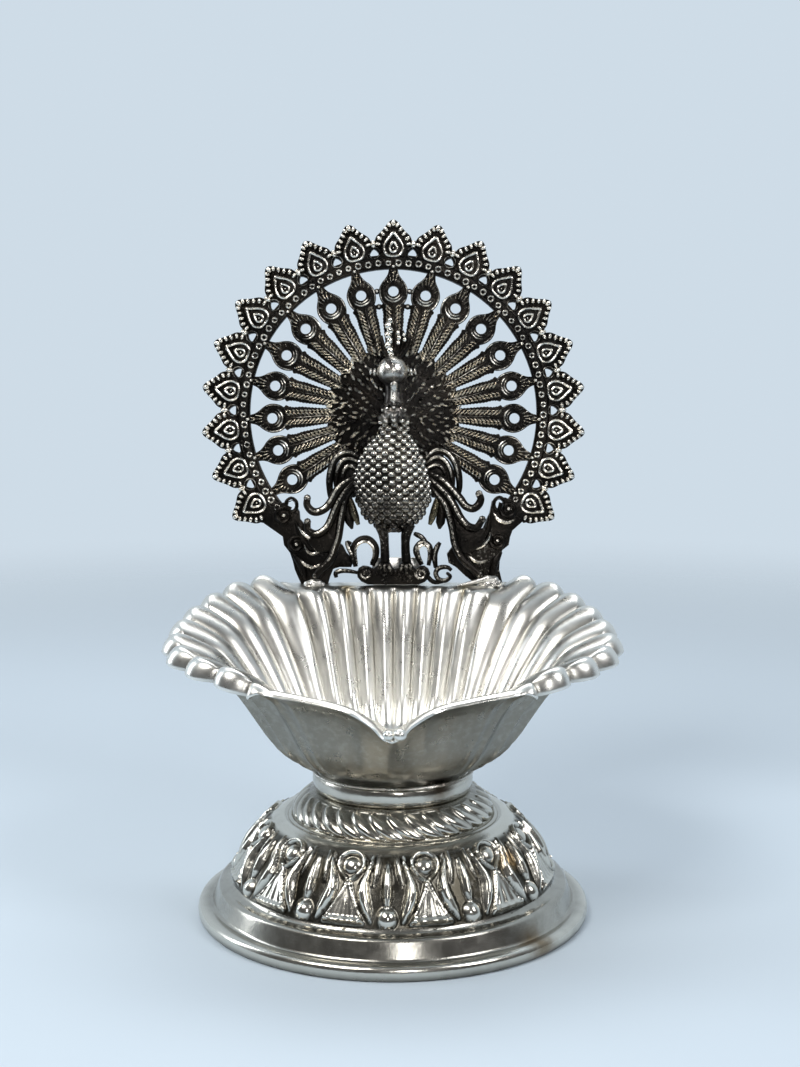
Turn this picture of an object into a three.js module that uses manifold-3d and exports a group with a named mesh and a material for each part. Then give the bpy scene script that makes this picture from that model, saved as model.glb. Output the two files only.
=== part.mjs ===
// Peacock diya: a small white-metal oil lamp. A pressed foot carries a fluted shell bowl, and a
// blackened cast plate with a peacock stands on the ledge at the back of the bowl.
// Millimetres, +Z up, the front of the lamp faces -Y, origin at the middle of the foot on the table.
import * as THREE from 'three';
import { mergeVertices } from 'three/addons/utils/BufferGeometryUtils.js';
import Module from 'manifold-3d';

const wasm = await Module();
wasm.setup();

// Foot: flange, step and petal band
const flangeRadius = 30;
const flangeThickness = 2.2;
const flangeEdge = 0.6;
const stepRadius = 27.8;
const stepTopRadius = 25.9;
const stepHeight = 5.0;
const petalFootRadius = 24.7;
const petalFootHeight = 5.8;
const shoulderRadius = 19.9;
const shoulderHeight = 15.3;
const bandTopRadius = 16.9;
const bandTopHeight = 15.35;
const bandDepth = 0.25;
const footWall = 0.9;
const petalCount = 12;
const petalRelief = 0.9;
const petalTurn = 13.3;
const motifStart = 1.5;
const motifLength = 11;
const stepFillet = 0.2;

// Fluted collar and smooth ring that make the neck
const collarSeatHeight = 15.0;
const collarRadius = 15.1;
const collarHeight = 4.1;
const collarWall = 1.8;
const collarLedge = 0.2;
const gadroonCount = 32;
const gadroonRelief = 0.45;
const gadroonTwist = 0.9;
const neckRadius = 11.3;
const neckHeight = 3.3;
const neckBulge = 1.0;
const neckWall = 1.6;
const neckLedge = 0.9;
const seamClearance = 0.15;
const seamSize = 1.0;

// Bowl
const bowlHalfWidth = 35.3;
const bowlFootRadius = 11.6;
const bowlFloorThickness = 1.6;
const bowlWall = 1.1;
const ribPitchAtBack = 4.7;
const ribPitchGrowth = 0.235;
const ribsEachSide = 13;
const ribRelief = 1.0;
const lobeReach = 1.2;
const ledgeHalfWidth = 18.2;
const ledgeHeight = 46.4;
const lipDrop = 11.2;

// The lip reaches this far forwards, and the fan leans as far backwards
const halfDepth = 33.0;

// Half of the rim seen from above, from the back ledge round the side to the pouring lip:
// share of the half width, share of the half depth (backwards), share of the drop to the lip.
const rimOutline = [
  [0, 0.867, -0.054],
  [0.312, 0.87, -0.063],
  [0.567, 0.848, -0.063],
  [0.802, 0.703, 0.036],
  [0.952, 0.394, 0.179],
  [1, 0.091, 0.321],
  [0.969, -0.167, 0.393],
  [0.839, -0.409, 0.446],
  [0.697, -0.564, 0.482],
  [0.555, -0.648, 0.607],
  [0.357, -0.673, 0.714],
  [0.187, -0.715, 0.813],
  [0.074, -0.824, 0.911],
  [0, -1, 1],
];

// Plate: it leans back over the ledge of the bowl
const plateLean = 6;
const plateThickness = 2.0;
const fanRadius = 32;
const fanHeight = 74.6;
const partGap = 0.3;
const seatGap = 0.2;

// Fan
const rimPetalCount = 19;
const fanSpan = 246.6;
const notchRadius = 28.0;
const eyeletRadius = 26.5;
const eyeletHole = 0.75;
const ringInnerRadius = 23.8;
const featherCount = 17;
const featherThickness = 1.6;
const eyeRadius = 20.5;
const eyeHole = 0.85;
const eyeHalfWidth = 2.35;
const shaftHalfWidth = 1.08;
const hubRadius = 10.2;
const hubThickness = 2.5;
const leftFootHalfWidth = 2.5;
const leftFootMiddle = -13.1;
const rightFootHalfWidth = 1.9;
const rightFootMiddle = 15.9;

// Figure
const bodyHalfWidth = 6.8;
const bodyDepth = 5.6;
const bodyTop = -1.2;
const bodyLength = 18.6;
const headRadius = 2.3;
const headHeight = 7.0;
const beakLength = 3.6;
const beakRadius = 0.95;
const beakTipRadius = 0.35;
const throatRadius = 2.1;
const napeRadius = 1.3;
const tuftRadius = 0.75;
const tuftSpread = 2.7;
const crestHeight = 6.2;
const crestHalfWidth = 1.9;
const plumeRadius = 0.5;
const plumeTipRadius = 0.65;
const legSpacing = 3.7;
const legOffset = 0.4;
const legRadius = 0.85;
const groundBarHeight = 3.2;
const groundBarHalfWidth = 4.9;
const groundBarDepth = 2.6;
const clawRadius = 0.7;
const clawSpacing = 0.9;
const scrollWire = 0.62;
const shoulderWire = 0.95;
const pegRadius = 1.4;

// Pieces behind and beside the feet
const stripWidth = 8;
const stripThickness = 0.9;
const stripHeight = 4.0;
const stripMiddle = 0.4;
const solderSize = 1.5;
const leftSolderWidth = 3.4;
const leftSolderHeight = 1.0;
const rightSolderWidth = 4.0;
const rightSolderHeight = 1.6;
const stripSolderHeight = 0.8;

const degrees = Math.PI / 180;
const lean = plateLean * degrees;

// Finishes
const brightMetal = () =>
  new THREE.MeshStandardMaterial({ color: 0xd9d6cb, roughness: 0.22, metalness: 1 });
const solderMetal = () =>
  new THREE.MeshStandardMaterial({ color: 0xb5aa97, roughness: 0.45, metalness: 1 });
const blackenedMetal = () =>
  new THREE.MeshStandardMaterial({ color: 0x3b3631, roughness: 0.5, metalness: 1 });

// Turns a closed geometry into a solid, and a solid back into a geometry
function solidOf(geometry) {
  const bare = geometry.index ? geometry.toNonIndexed() : geometry.clone();
  bare.deleteAttribute('normal');
  bare.deleteAttribute('uv');
  const merged = mergeVertices(bare, 1e-4);
  const mesh = new wasm.Mesh({
    numProp: 3,
    vertProperties: new Float32Array(merged.attributes.position.array),
    triVerts: new Uint32Array(merged.index.array),
  });
  return new wasm.Manifold(mesh);
}

function geometryOf(solid) {
  const mesh = solid.getMesh();
  const geometry = new THREE.BufferGeometry();
  geometry.setAttribute('position', new THREE.BufferAttribute(mesh.vertProperties, 3));
  geometry.setIndex(new THREE.BufferAttribute(mesh.triVerts, 1));
  geometry.computeVertexNormals();
  return geometry;
}

function joined(geometries) {
  const solids = geometries.map(solidOf);
  return solids.slice(1).reduce((whole, solid) => whole.add(solid), solids[0]);
}

function piece(name, geometry, material) {
  const mesh = new THREE.Mesh(geometry, material);
  mesh.name = name;
  return mesh;
}

// A body through closed loops of points. With poles its ends close on a point, and without them
// the last loop meets the first.
function bodyFromLoops(loops, poles) {
  const count = loops[0].length;
  const points = loops.flat();
  const faces = [];
  const lastLoop = poles ? loops.length - 1 : loops.length;
  for (let row = 0; row < lastLoop; row++) {
    const next = (row + 1) % loops.length;
    for (let i = 0; i < count; i++) {
      const j = (i + 1) % count;
      faces.push(row * count + i, row * count + j, next * count + j);
      faces.push(row * count + i, next * count + j, next * count + i);
    }
  }
  if (poles) {
    const first = points.push(poles[0]) - 1;
    const last = points.push(poles[1]) - 1;
    const end = (loops.length - 1) * count;
    for (let i = 0; i < count; i++) {
      const j = (i + 1) % count;
      faces.push(first, j, i);
      faces.push(last, end + i, end + j);
    }
  }
  const geometry = new THREE.BufferGeometry().setFromPoints(points);
  geometry.setIndex(faces);
  if (signedVolume(points, faces) < 0) {
    geometry.setIndex(faces.reverse());
  }
  geometry.computeVertexNormals();
  return geometry;
}

function signedVolume(points, faces) {
  let six = 0;
  for (let i = 0; i < faces.length; i += 3) {
    const [a, b, c] = [points[faces[i]], points[faces[i + 1]], points[faces[i + 2]]];
    six += a.dot(new THREE.Vector3().crossVectors(b, c));
  }
  return six;
}

// Loops round the Z axis: profile rows are [radius, height, relief weight], and relief is a
// function of the angle and the height that adds to the radius.
function turned(profile, segments, relief = () => 0) {
  const loops = profile.map(([radius, height, weight = 0]) => {
    const loop = [];
    for (let i = 0; i < segments; i++) {
      const angle = (i / segments) * 2 * Math.PI;
      const reach = radius + (weight ? weight * relief(angle, height) : 0);
      loop.push(new THREE.Vector3(reach * Math.sin(angle), -reach * Math.cos(angle), height));
    }
    return loop;
  });
  return bodyFromLoops(loops);
}

function mix(a, b, t) {
  return a + (b - a) * t;
}

// Points of a convex run between two profile corners
function convexRun(from, to, steps) {
  const corner = [Math.max(from[0], to[0]), Math.max(from[1], to[1])];
  const run = [];
  for (let i = 0; i <= steps; i++) {
    const t = i / steps;
    const r = mix(mix(from[0], corner[0], t), mix(corner[0], to[0], t), t);
    const z = mix(mix(from[1], corner[1], t), mix(corner[1], to[1], t), t);
    run.push([r, z]);
  }
  return run;
}

// Foot
const collarFootInner = collarRadius - collarWall;

// Forms of one motif of the petal band, in shares of its length: way down, distance aside of the
// middle, half width, height. The first is the ringed boss with the tongue below it, the second
// the leaf at each side, the third the ridge and knob between two motifs.
const tongueRows = [
  [0, 0, 0.03, 0],
  [0.04, 0, 0.1, 0.5],
  [0.1, 0, 0.16, 0.75],
  [0.21, 0, 0.19, 0.9],
  [0.32, 0, 0.16, 0.75],
  [0.4, 0, 0.09, 0.6],
  [0.46, 0, 0.06, 0.45],
  [0.65, 0, 0.15, 0.55],
  [0.95, 0, 0.285, 0.65],
  [1, 0, 0.29, 0],
];
const leafRows = [
  [0.04, 0.26, 0.02, 0],
  [0.13, 0.26, 0.03, 0.5],
  [0.25, 0.25, 0.04, 0.75],
  [0.37, 0.22, 0.055, 0.85],
  [0.5, 0.205, 0.075, 1],
  [0.65, 0.245, 0.08, 1],
  [0.82, 0.31, 0.065, 0.8],
  [0.95, 0.375, 0.03, 0],
];
const betweenRows = [
  [0.15, 0, 0.02, 0],
  [0.29, 0, 0.05, 0.75],
  [0.5, 0, 0.068, 0.95],
  [0.68, 0, 0.055, 0.75],
  [0.75, 0, 0.05, 0.45],
  [0.82, 0, 0.11, 0.85],
  [0.88, 0, 0.125, 1],
  [0.95, 0, 0.09, 0.7],
  [1, 0, 0.04, 0],
];

// Ways down a motif that have a loop of points, and the round of a form's flank: at this share of
// its half width it has this share of its height
const motifRows = [0, 0.05, 0.12, 0.21, 0.3, 0.38, 0.46, 0.56, 0.66, 0.75, 0.82, 0.88, 0.95, 1];
const flank = 0.55;
const flankHeight = 0.85;

function rowAt(rows, down) {
  const next = rows.findIndex((row) => row[0] >= down);
  if (next < 1) {
    return next < 0 ? rows[rows.length - 1] : rows[0];
  }
  const [from, to] = [rows[next - 1], rows[next]];
  return from.map((value, k) => mix(value, to[k], (down - from[0]) / (to[0] - from[0])));
}

// Half of a motif across, from its middle line to the line between two motifs, at a way down it:
// distance aside and height, all in shares of the motif's length
function motifAcross(down, halfPitch) {
  const [, , tongueHalf, tongueHeight] = rowAt(tongueRows, down);
  const [, leafMiddle, leafHalf, leafHeight] = rowAt(leafRows, down);
  const [, , betweenHalf, betweenHeight] = rowAt(betweenRows, down);
  return [
    [0, tongueHeight],
    [flank * tongueHalf, flankHeight * tongueHeight],
    [tongueHalf, 0],
    [leafMiddle - leafHalf, 0],
    [leafMiddle, leafHeight],
    [leafMiddle + leafHalf, 0],
    [halfPitch - betweenHalf, 0],
    [halfPitch - flank * betweenHalf, flankHeight * betweenHeight],
    [halfPitch, betweenHeight],
  ];
}

// Section of the band, from its foot over the round shoulder: radius and height at a share of the
// way, sunk into the metal along the section's normal
function bandPoint(t, sunk) {
  const [r0, z0] = [mix(petalFootRadius, shoulderRadius, t), mix(petalFootHeight, shoulderHeight, t)];
  const [r1, z1] = [mix(shoulderRadius, bandTopRadius, t), mix(shoulderHeight, bandTopHeight, t)];
  const slope = Math.hypot(r1 - r0, z1 - z0);
  const normal = [(z1 - z0) / slope, (r0 - r1) / slope];
  return [mix(r0, r1, t) - sunk * normal[0], mix(z0, z1, t) - sunk * normal[1]];
}

function bandRun(steps, sunk) {
  return Array.from({ length: steps + 1 }, (_, i) => bandPoint(i / steps, sunk));
}

// Share of the section's way at a length down from its top, found in small steps
function bandShare(length) {
  const steps = 200;
  const run = bandRun(steps, 0);
  let left = length;
  let i = steps;
  while (i > 0 && left > 0) {
    left -= Math.hypot(run[i][0] - run[i - 1][0], run[i][1] - run[i - 1][1]);
    i--;
  }
  return i / steps;
}

// The pressed band with its relief, one skin over the plain wall of the foot
function petalBand() {
  const skin = (share, down, depth) => {
    const [radius] = bandPoint(share, 0);
    const half = motifAcross(down, (Math.PI * radius) / petalCount / motifLength);
    const whole = [...half, ...half.slice(1, -1).reverse().map(([aside, height]) => [-aside, height])];
    const loop = [];
    for (let motif = 0; motif < petalCount; motif++) {
      for (const [aside, height] of whole) {
        const turn = petalTurn * degrees + (motif * 2 * Math.PI) / petalCount;
        const angle = turn + (aside * motifLength) / radius + (aside < 0 ? (2 * Math.PI) / petalCount : 0);
        const [r, z] = bandPoint(share, depth - (depth ? 0 : petalRelief * height));
        loop.push(new THREE.Vector3(r * Math.sin(angle), -r * Math.cos(angle), z));
      }
    }
    return loop;
  };
  const ways = motifRows.map((down) => [bandShare(motifStart + down * motifLength), down]);
  const outer = [[1, 0], ...ways, [0, 1]].map(([share, down]) => skin(share, down, 0));
  const inner = [0, 0.5, 1].map((share) => skin(share, 1, 2 * bandDepth));
  return bodyFromLoops([...outer, ...inner]);
}

function baseSkirt() {
  const outer = [
    [flangeRadius - flangeEdge, 0],
    [flangeRadius, flangeEdge],
    [flangeRadius, flangeThickness - flangeEdge],
    [flangeRadius - flangeEdge, flangeThickness],
    ...convexRun([stepRadius, flangeThickness + stepFillet], [stepTopRadius, stepHeight], 2),
    ...bandRun(6, bandDepth),
    [collarRadius + collarLedge, collarSeatHeight],
    [collarFootInner, collarSeatHeight],
  ];
  const inner = [
    [collarFootInner, collarSeatHeight - footWall],
    ...bandRun(4, bandDepth + footWall).reverse(),
    [stepTopRadius - 1.2 * footWall, stepHeight - footWall],
    [stepRadius - footWall, flangeThickness],
    [stepRadius - footWall, 0],
  ];
  return geometryOf(joined([turned([...outer, ...inner], petalCount * 6), petalBand()]));
}

function gadroonCollar() {
  const foot = collarSeatHeight;
  const top = foot + collarHeight;
  const profile = [
    [collarRadius, foot],
    [collarRadius, foot + 0.18 * collarHeight, 0.8],
    [mix(collarRadius, neckRadius, 0.13), foot + 0.55 * collarHeight, 1],
    [mix(collarRadius, neckRadius, 0.47), foot + 0.88 * collarHeight, 0.9],
    [neckRadius + neckLedge, top],
    [neckRadius - neckWall, top],
    [mix(collarFootInner, neckRadius - neckWall, 0.33), foot + 0.5 * collarHeight],
    [collarFootInner, foot],
  ];
  const fluted = (angle, height) => {
    const turn = (gadroonTwist * (height - foot)) / collarHeight;
    return gadroonRelief * Math.cos(gadroonCount * angle + turn * Math.PI);
  };
  return turned(profile, gadroonCount * 3, fluted);
}

const neckFoot = collarSeatHeight + collarHeight;
const neckTop = neckFoot + neckHeight;

function neckRing() {
  const profile = [];
  for (let i = 0; i <= 5; i++) {
    const t = (i / 5) * Math.PI;
    profile.push([neckRadius + neckBulge * Math.sin(t), mix(neckFoot, neckTop, (1 - Math.cos(t)) / 2)]);
  }
  profile.push([neckRadius - neckWall, neckTop]);
  profile.push([neckRadius - neckWall, neckFoot]);
  return turned(profile, 40);
}

function neckSolder() {
  const inner = bowlFootRadius + 1.6 * seamClearance;
  const profile = [
    [inner, neckTop - seamClearance],
    [inner + 0.4 * seamSize, neckTop - 0.5 * seamSize],
    [inner + seamSize, neckTop - 0.2 * seamSize],
    [inner + seamSize, neckTop + seamClearance],
  ];
  return turned(profile, 40);
}

// Bowl: columns follow the rim, and each column is one section from the middle of the floor
// over the rim and back under the wall.
const bowlFoot = neckTop;
const bowlFloor = bowlFoot + bowlFloorThickness;

function rimCurve() {
  const half = rimOutline.map(([across, back, drop]) => {
    const height = ledgeHeight - drop * lipDrop;
    return new THREE.Vector3(across * bowlHalfWidth, back * halfDepth, height);
  });
  return new THREE.CatmullRomCurve3(half, false, 'centripetal');
}

// How far along the rim the valley before rib number n lies
function ribStation(n) {
  return ribPitchAtBack * n + (ribPitchGrowth * n * n) / 2;
}

// Section rows of the inside: share of the way from the foot's radius to the rim, share of the
// height there, the same height on the back ledge, and how strongly the ribs show.
const sectionRows = [
  [0.0, 0.0, 0.0, 0.0],
  [0.13, 0.06, 0.06, 0.3],
  [0.26, 0.2, 0.22, 0.5],
  [0.36, 0.39, 0.46, 0.6],
  [0.46, 0.58, 0.72, 0.7],
  [0.58, 0.77, 0.93, 0.7],
  [0.67, 0.87, 1.0, 0.6],
  [0.8, 0.95, 1.0, 0.8],
  [0.92, 1.0, 1.0, 1.0],
  [1.0, 0.955, 0.97, 0.6],
];
const outsideRows = sectionRows.map((_, row) => row).slice(1).reverse();
const ledgeRow = 6;
const lobeStart = 0.8;

// One point of the inside section, on the plane through the middle of the bowl: distance and height
function sectionPoint(row, column) {
  const [share, height, ledgeHeightShare, ribs] = sectionRows[row];
  const toRim = Math.hypot(column.rim.x, column.rim.y);
  const notch = (column.notch * lobeReach * Math.max(0, share - lobeStart)) / (1 - lobeStart);
  const reach = toRim - notch * (1 - column.ledge);
  const top = mix(column.rim.z, ledgeHeight, column.ledge);
  const flat = mix(1, 1 - Math.min(1, share / sectionRows[ledgeRow][0]), column.ledge);
  const z = mix(bowlFloor, top, mix(height, ledgeHeightShare, column.ledge));
  return new THREE.Vector2(mix(bowlFootRadius, reach, share), z + ribRelief * ribs * column.rise * flat);
}

// The matching point of the outside, one wall away from the inside
function outsidePoint(row, column) {
  const plain = { ...column, rise: Math.min(0, column.rise) };
  const here = sectionPoint(row, plain);
  const before = sectionPoint(row - 1, plain);
  const after = sectionPoint(Math.min(row + 1, sectionRows.length - 1), plain);
  const along = after.sub(before).normalize();
  return here.add(new THREE.Vector2(along.y, -along.x).multiplyScalar(bowlWall));
}

function bowlColumns() {
  const curve = rimCurve();
  const halfLength = curve.getLength();
  const ribLength = ribStation(ribsEachSide);
  const columnAt = (length, crest, ribbed) => {
    const rim = curve.getPointAt(Math.min(1, length / halfLength));
    const aside = THREE.MathUtils.smoothstep(rim.x, ledgeHalfWidth, 1.3 * ledgeHalfWidth);
    const ledge = rim.y > 0 ? 1 - aside : 0;
    return { rim, ledge, notch: ribbed ? 1 - crest : 0, rise: ribbed ? crest - 0.6 : 0 };
  };
  const columns = [];
  for (let n = 0; n < ribsEachSide; n++) {
    for (const part of [0, 0.3, 0.7]) {
      columns.push(columnAt(ribStation(n + part), part ? 1 : 0, true));
    }
  }
  const lipSteps = 8;
  for (let i = 0; i <= lipSteps; i++) {
    columns.push(columnAt(mix(ribLength, halfLength, i / lipSteps), 0, false));
  }
  const right = columns.map((column) => ({ ...column, side: 1 }));
  const left = columns.slice(1, -1).reverse().map((column) => ({ ...column, side: -1 }));
  return [...right, ...left];
}

function lampBowl() {
  const columns = bowlColumns();
  const placed = (column, point) => {
    const around = Math.atan2(column.rim.y, column.rim.x);
    return new THREE.Vector3(column.side * point.x * Math.cos(around), point.x * Math.sin(around), point.y);
  };
  const inside = sectionRows.map((_, row) =>
    columns.map((column) => placed(column, sectionPoint(row, column))));
  const outside = outsideRows.map((row) =>
    columns.map((column) => placed(column, outsidePoint(row, column))));
  const foot = columns.map((column) => placed(column, new THREE.Vector2(bowlFootRadius, bowlFoot)));
  const poles = [new THREE.Vector3(0, 0, bowlFloor), new THREE.Vector3(0, 0, bowlFoot)];
  return bodyFromLoops([...inside, ...outside, foot], poles);
}

// Plate. Its own frame: x to the right, y up along the plate, z towards the viewer, origin at the
// middle of the fan.
const plateBack = plateThickness / 2;
const fanDepth = halfDepth - (fanRadius * Math.sin(lean) + plateBack * Math.cos(lean));
const plate = new THREE.Group();
plate.position.set(0, fanDepth, fanHeight);
plate.rotation.x = Math.PI / 2 - lean;

// The height in the plate's frame of a point that stands over the ledge by a gap
function seatAt(depth, gap) {
  return (ledgeHeight + gap - fanHeight - depth * Math.sin(lean)) / Math.cos(lean);
}
const plateFoot = seatAt(-plateBack, seatGap);

function polar(radius, angle) {
  return new THREE.Vector2(radius * Math.sin(angle * degrees), radius * Math.cos(angle * degrees));
}

function slab(shape, from, to) {
  const settings = { depth: to - from, bevelEnabled: false, curveSegments: 6 };
  const geometry = new THREE.ExtrudeGeometry(shape, settings);
  return geometry.translate(0, 0, from);
}

function roundHole(centre, radius) {
  const hole = new THREE.Path();
  hole.absarc(centre.x, centre.y, radius, 0, 2 * Math.PI, true);
  return hole;
}

// One petal of the rim, from its left notch to just before its right notch: radius added to the
// notch as a share of the petal's length, and angle as a share of half its width.
const petalOutline = [
  [0, -1],
  [0.38, -0.9],
  [0.66, -0.62],
  [0.8, -0.26],
  [1, 0],
  [0.8, 0.26],
  [0.66, 0.62],
  [0.38, 0.9],
];

function petalRim() {
  const pitch = fanSpan / (rimPetalCount - 1);
  const outline = [];
  for (let n = 0; n < rimPetalCount; n++) {
    const middle = -fanSpan / 2 + n * pitch;
    for (const [rise, aside] of petalOutline) {
      outline.push(polar(mix(notchRadius, fanRadius, rise), middle + (aside * pitch) / 2));
    }
  }
  const end = fanSpan / 2 + pitch / 2;
  outline.push(polar(notchRadius, end));
  const arcSteps = 2 * (rimPetalCount - 1);
  for (let i = 0; i <= arcSteps; i++) {
    outline.push(polar(ringInnerRadius, mix(end, -end, i / arcSteps)));
  }
  return slab(new THREE.Shape(outline), -plateBack, plateBack);
}

// A round pin through the plate, to cut a hole with
function punch(centre, radius, sides = 6) {
  const length = 4 * plateThickness;
  const pin = new THREE.CylinderGeometry(radius, radius, length, sides).rotateX(Math.PI / 2);
  return solidOf(pin.translate(centre.x, centre.y, 0));
}

// Half outline of a feather along its own axis, from the hub outwards: radius and half width
function featherHalf() {
  return [
    [hubRadius - 2, shaftHalfWidth * 0.9],
    [eyeRadius - 3.1, shaftHalfWidth],
    [eyeRadius - 1.9, eyeHalfWidth * 0.7],
    [eyeRadius, eyeHalfWidth],
    [eyeRadius + 1.5, eyeHalfWidth * 0.75],
    [ringInnerRadius + 0.4, 0.5],
  ];
}

function feather(angle) {
  const half = featherHalf();
  const right = half.map(([r, w]) => new THREE.Vector2(w, r));
  const left = half.map(([r, w]) => new THREE.Vector2(-w, r)).reverse();
  const turn = (p) => p.rotateAround(new THREE.Vector2(), -angle * degrees);
  const shape = new THREE.Shape([...right, ...left].map(turn));
  shape.holes.push(roundHole(polar(eyeRadius, angle), eyeHole));
  return slab(shape, -plateBack, featherThickness - plateBack);
}

function hub() {
  const outline = [];
  for (let i = 0; i < 2 * featherCount; i++) {
    outline.push(polar(i % 2 ? hubRadius : hubRadius - 0.7, (i * 180) / featherCount));
  }
  return slab(new THREE.Shape(outline), -plateBack, hubThickness - plateBack);
}

// The leafy foot that joins the fan's end to the ledge, on the left and on the right
const leftFootOutline = [
  [-21.0, -18.2],
  [-18.3, -20.8],
  [-17.6, -22.6],
  [-16.4, -24.6],
  [-15.8, -27.0],
  [leftFootMiddle - leftFootHalfWidth, 'foot'],
  [leftFootMiddle + leftFootHalfWidth, 'foot'],
  [-10.2, -26.4],
  [-7.0, -25.2],
  [-6.4, -24.0],
  [-7.4, -22.2],
  [-9.4, -21.0],
  [-12.0, -20.6],
  [-14.4, -19.6],
  [-16.0, -17.6],
  [-16.6, -15.2],
  [-19.4, -15.0],
];
const rightFootOutline = [
  [21.6, -17.8],
  [19.6, -19.6],
  [19.2, -21.8],
  [18.0, -23.4],
  [17.6, -26.0],
  [rightFootMiddle + rightFootHalfWidth, 'foot'],
  [rightFootMiddle - rightFootHalfWidth, 'foot'],
  [12.6, -26.2],
  [9.2, -25.2],
  [8.6, -24.0],
  [9.6, -22.4],
  [11.4, -21.2],
  [13.6, -20.4],
  [16.0, -19.6],
  [17.0, -17.6],
  [17.4, -15.2],
  [20.0, -15.0],
];

function leafyFoot(outline) {
  const points = outline.map(([x, y]) => new THREE.Vector2(x, y === 'foot' ? plateFoot : y));
  return slab(new THREE.Shape(points), -plateBack, plateBack);
}

function tailFan() {
  const feathers = [];
  for (let n = 0; n < featherCount; n++) {
    feathers.push(feather(-fanSpan / 2 + (n * fanSpan) / (featherCount - 1)));
  }
  const parts = [petalRim(), hub(), leafyFoot(leftFootOutline), leafyFoot(rightFootOutline), ...feathers];
  const holes = [punch(new THREE.Vector2(0, pegHeight), pegRadius + partGap, 16)];
  const pitch = fanSpan / (rimPetalCount - 1);
  for (let n = 0; n < rimPetalCount - 1; n++) {
    holes.push(punch(polar(eyeletRadius, (n + 0.5) * pitch - fanSpan / 2), eyeletHole));
  }
  return geometryOf(holes.reduce((whole, hole) => whole.subtract(hole), joined(parts)));
}

function alongZ(geometry) {
  return geometry.rotateX(Math.PI / 2);
}

// Figure: it stands in front of the hub by the part gap
const figureBack = hubThickness - plateBack + partGap;
const pegHeight = bodyTop - 0.22 * bodyLength;

// Share of the body's length from the top, and the half width there as a share of the greatest
const bodyRows = [
  [0.0, 0.3],
  [0.16, 0.48],
  [0.26, 0.68],
  [0.36, 0.85],
  [0.5, 0.97],
  [0.64, 1.0],
  [0.76, 0.93],
  [0.88, 0.72],
  [0.96, 0.44],
];

function bodyHalfAt(height) {
  const share = (bodyTop - height) / bodyLength;
  const after = bodyRows.findIndex(([s]) => s >= share);
  if (after <= 0) {
    return after < 0 ? 0 : bodyHalfWidth * bodyRows[0][1];
  }
  const [s0, w0] = bodyRows[after - 1];
  const [s1, w1] = bodyRows[after];
  return bodyHalfWidth * mix(w0, w1, (share - s0) / (s1 - s0));
}

function body() {
  const count = 16;
  const loops = bodyRows.map(([share, wide]) => {
    const loop = [];
    for (let i = 0; i < count; i++) {
      const angle = (i / count) * 2 * Math.PI;
      const ahead = Math.sin(angle);
      const deep = ahead > 0 ? bodyDepth * Math.pow(wide, 0.7) : 0.4 * wide;
      const x = bodyHalfWidth * wide * Math.cos(angle);
      loop.push(new THREE.Vector3(x, bodyTop - share * bodyLength, figureBack + 0.4 + deep * ahead));
    }
    return loop;
  });
  const poles = [
    new THREE.Vector3(0, bodyTop + 0.2, figureBack + 1),
    new THREE.Vector3(0, bodyTop - bodyLength, figureBack + 1.6),
  ];
  return bodyFromLoops(loops, poles);
}

function ball(radius, x, y, z) {
  return new THREE.SphereGeometry(radius, 10, 6).translate(x, y, z);
}

function rod(radiusFoot, radiusTop, from, to, sides = 8) {
  const start = new THREE.Vector3(...from);
  const way = new THREE.Vector3(...to).sub(start);
  const geometry = new THREE.CylinderGeometry(radiusTop, radiusFoot, way.length(), sides);
  geometry.translate(0, way.length() / 2, 0);
  const up = new THREE.Vector3(0, 1, 0);
  const turn = new THREE.Quaternion().setFromUnitVectors(up, way.normalize());
  return geometry.applyQuaternion(turn).translate(...from);
}

const headDepth = figureBack + headRadius + 0.4;
const legFoot = plateFoot + groundBarHeight + partGap;
const legDepth = figureBack + 1.4;

function head() {
  const beakTop = headHeight - 0.6 * headRadius;
  const throatFoot = bodyTop - 1;
  const beakFront = headDepth + 0.74 * headRadius;
  const beakBack = headDepth + 0.4 * headRadius;
  const napeDepth = headDepth - 0.26 * headRadius;
  const tuft = (side) => [side * tuftSpread, headHeight - 0.4 * tuftRadius, headDepth - tuftRadius];
  return [
    ball(headRadius, 0, headHeight, headDepth),
    rod(beakTipRadius, beakRadius, [0, beakTop - beakLength, beakFront], [0, beakTop, beakBack]),
    rod(
      throatRadius,
      napeRadius,
      [0, throatFoot, figureBack + throatRadius + 0.1],
      [0, headHeight, napeDepth],
      12,
    ),
    ball(tuftRadius, ...tuft(-1)),
    ball(tuftRadius, ...tuft(1)),
    rod(0.9 * tuftRadius, 0.9 * tuftRadius, tuft(-1), tuft(1)),
  ];
}

function crest() {
  const foot = headHeight + 0.8 * headRadius;
  return [-1, 0, 1].map((side) => {
    const top = foot + crestHeight * (side ? 0.8 : 1);
    const root = [side * plumeRadius, foot - 2 * plumeRadius, figureBack + 2.4 * plumeRadius];
    const tip = [side * crestHalfWidth, top, figureBack + 1.4 * plumeTipRadius];
    return rod(plumeRadius, plumeTipRadius, root, tip, 6);
  });
}

function legs() {
  const hip = bodyTop - bodyLength + 2.4;
  return [-0.5, 0.5].map((side) => {
    const x = side * legSpacing + legOffset;
    return rod(legRadius, 1.3 * legRadius, [x, legFoot, legDepth], [x, hip, legDepth + 0.6]);
  });
}

function peacockFigure() {
  const figure = joined([body(), ...head(), ...crest(), ...legs()]);
  const socket = alongZ(new THREE.CylinderGeometry(pegRadius + partGap, pegRadius + partGap, 3, 16));
  socket.translate(0, pegHeight, figureBack + 0.6);
  return geometryOf(figure.subtract(solidOf(socket)));
}

function bodyPeg() {
  const front = figureBack + 1.6;
  const length = front + plateBack - 0.1;
  const peg = alongZ(new THREE.CylinderGeometry(pegRadius, pegRadius, length, 16));
  return peg.translate(0, pegHeight, front - length / 2);
}

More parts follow.
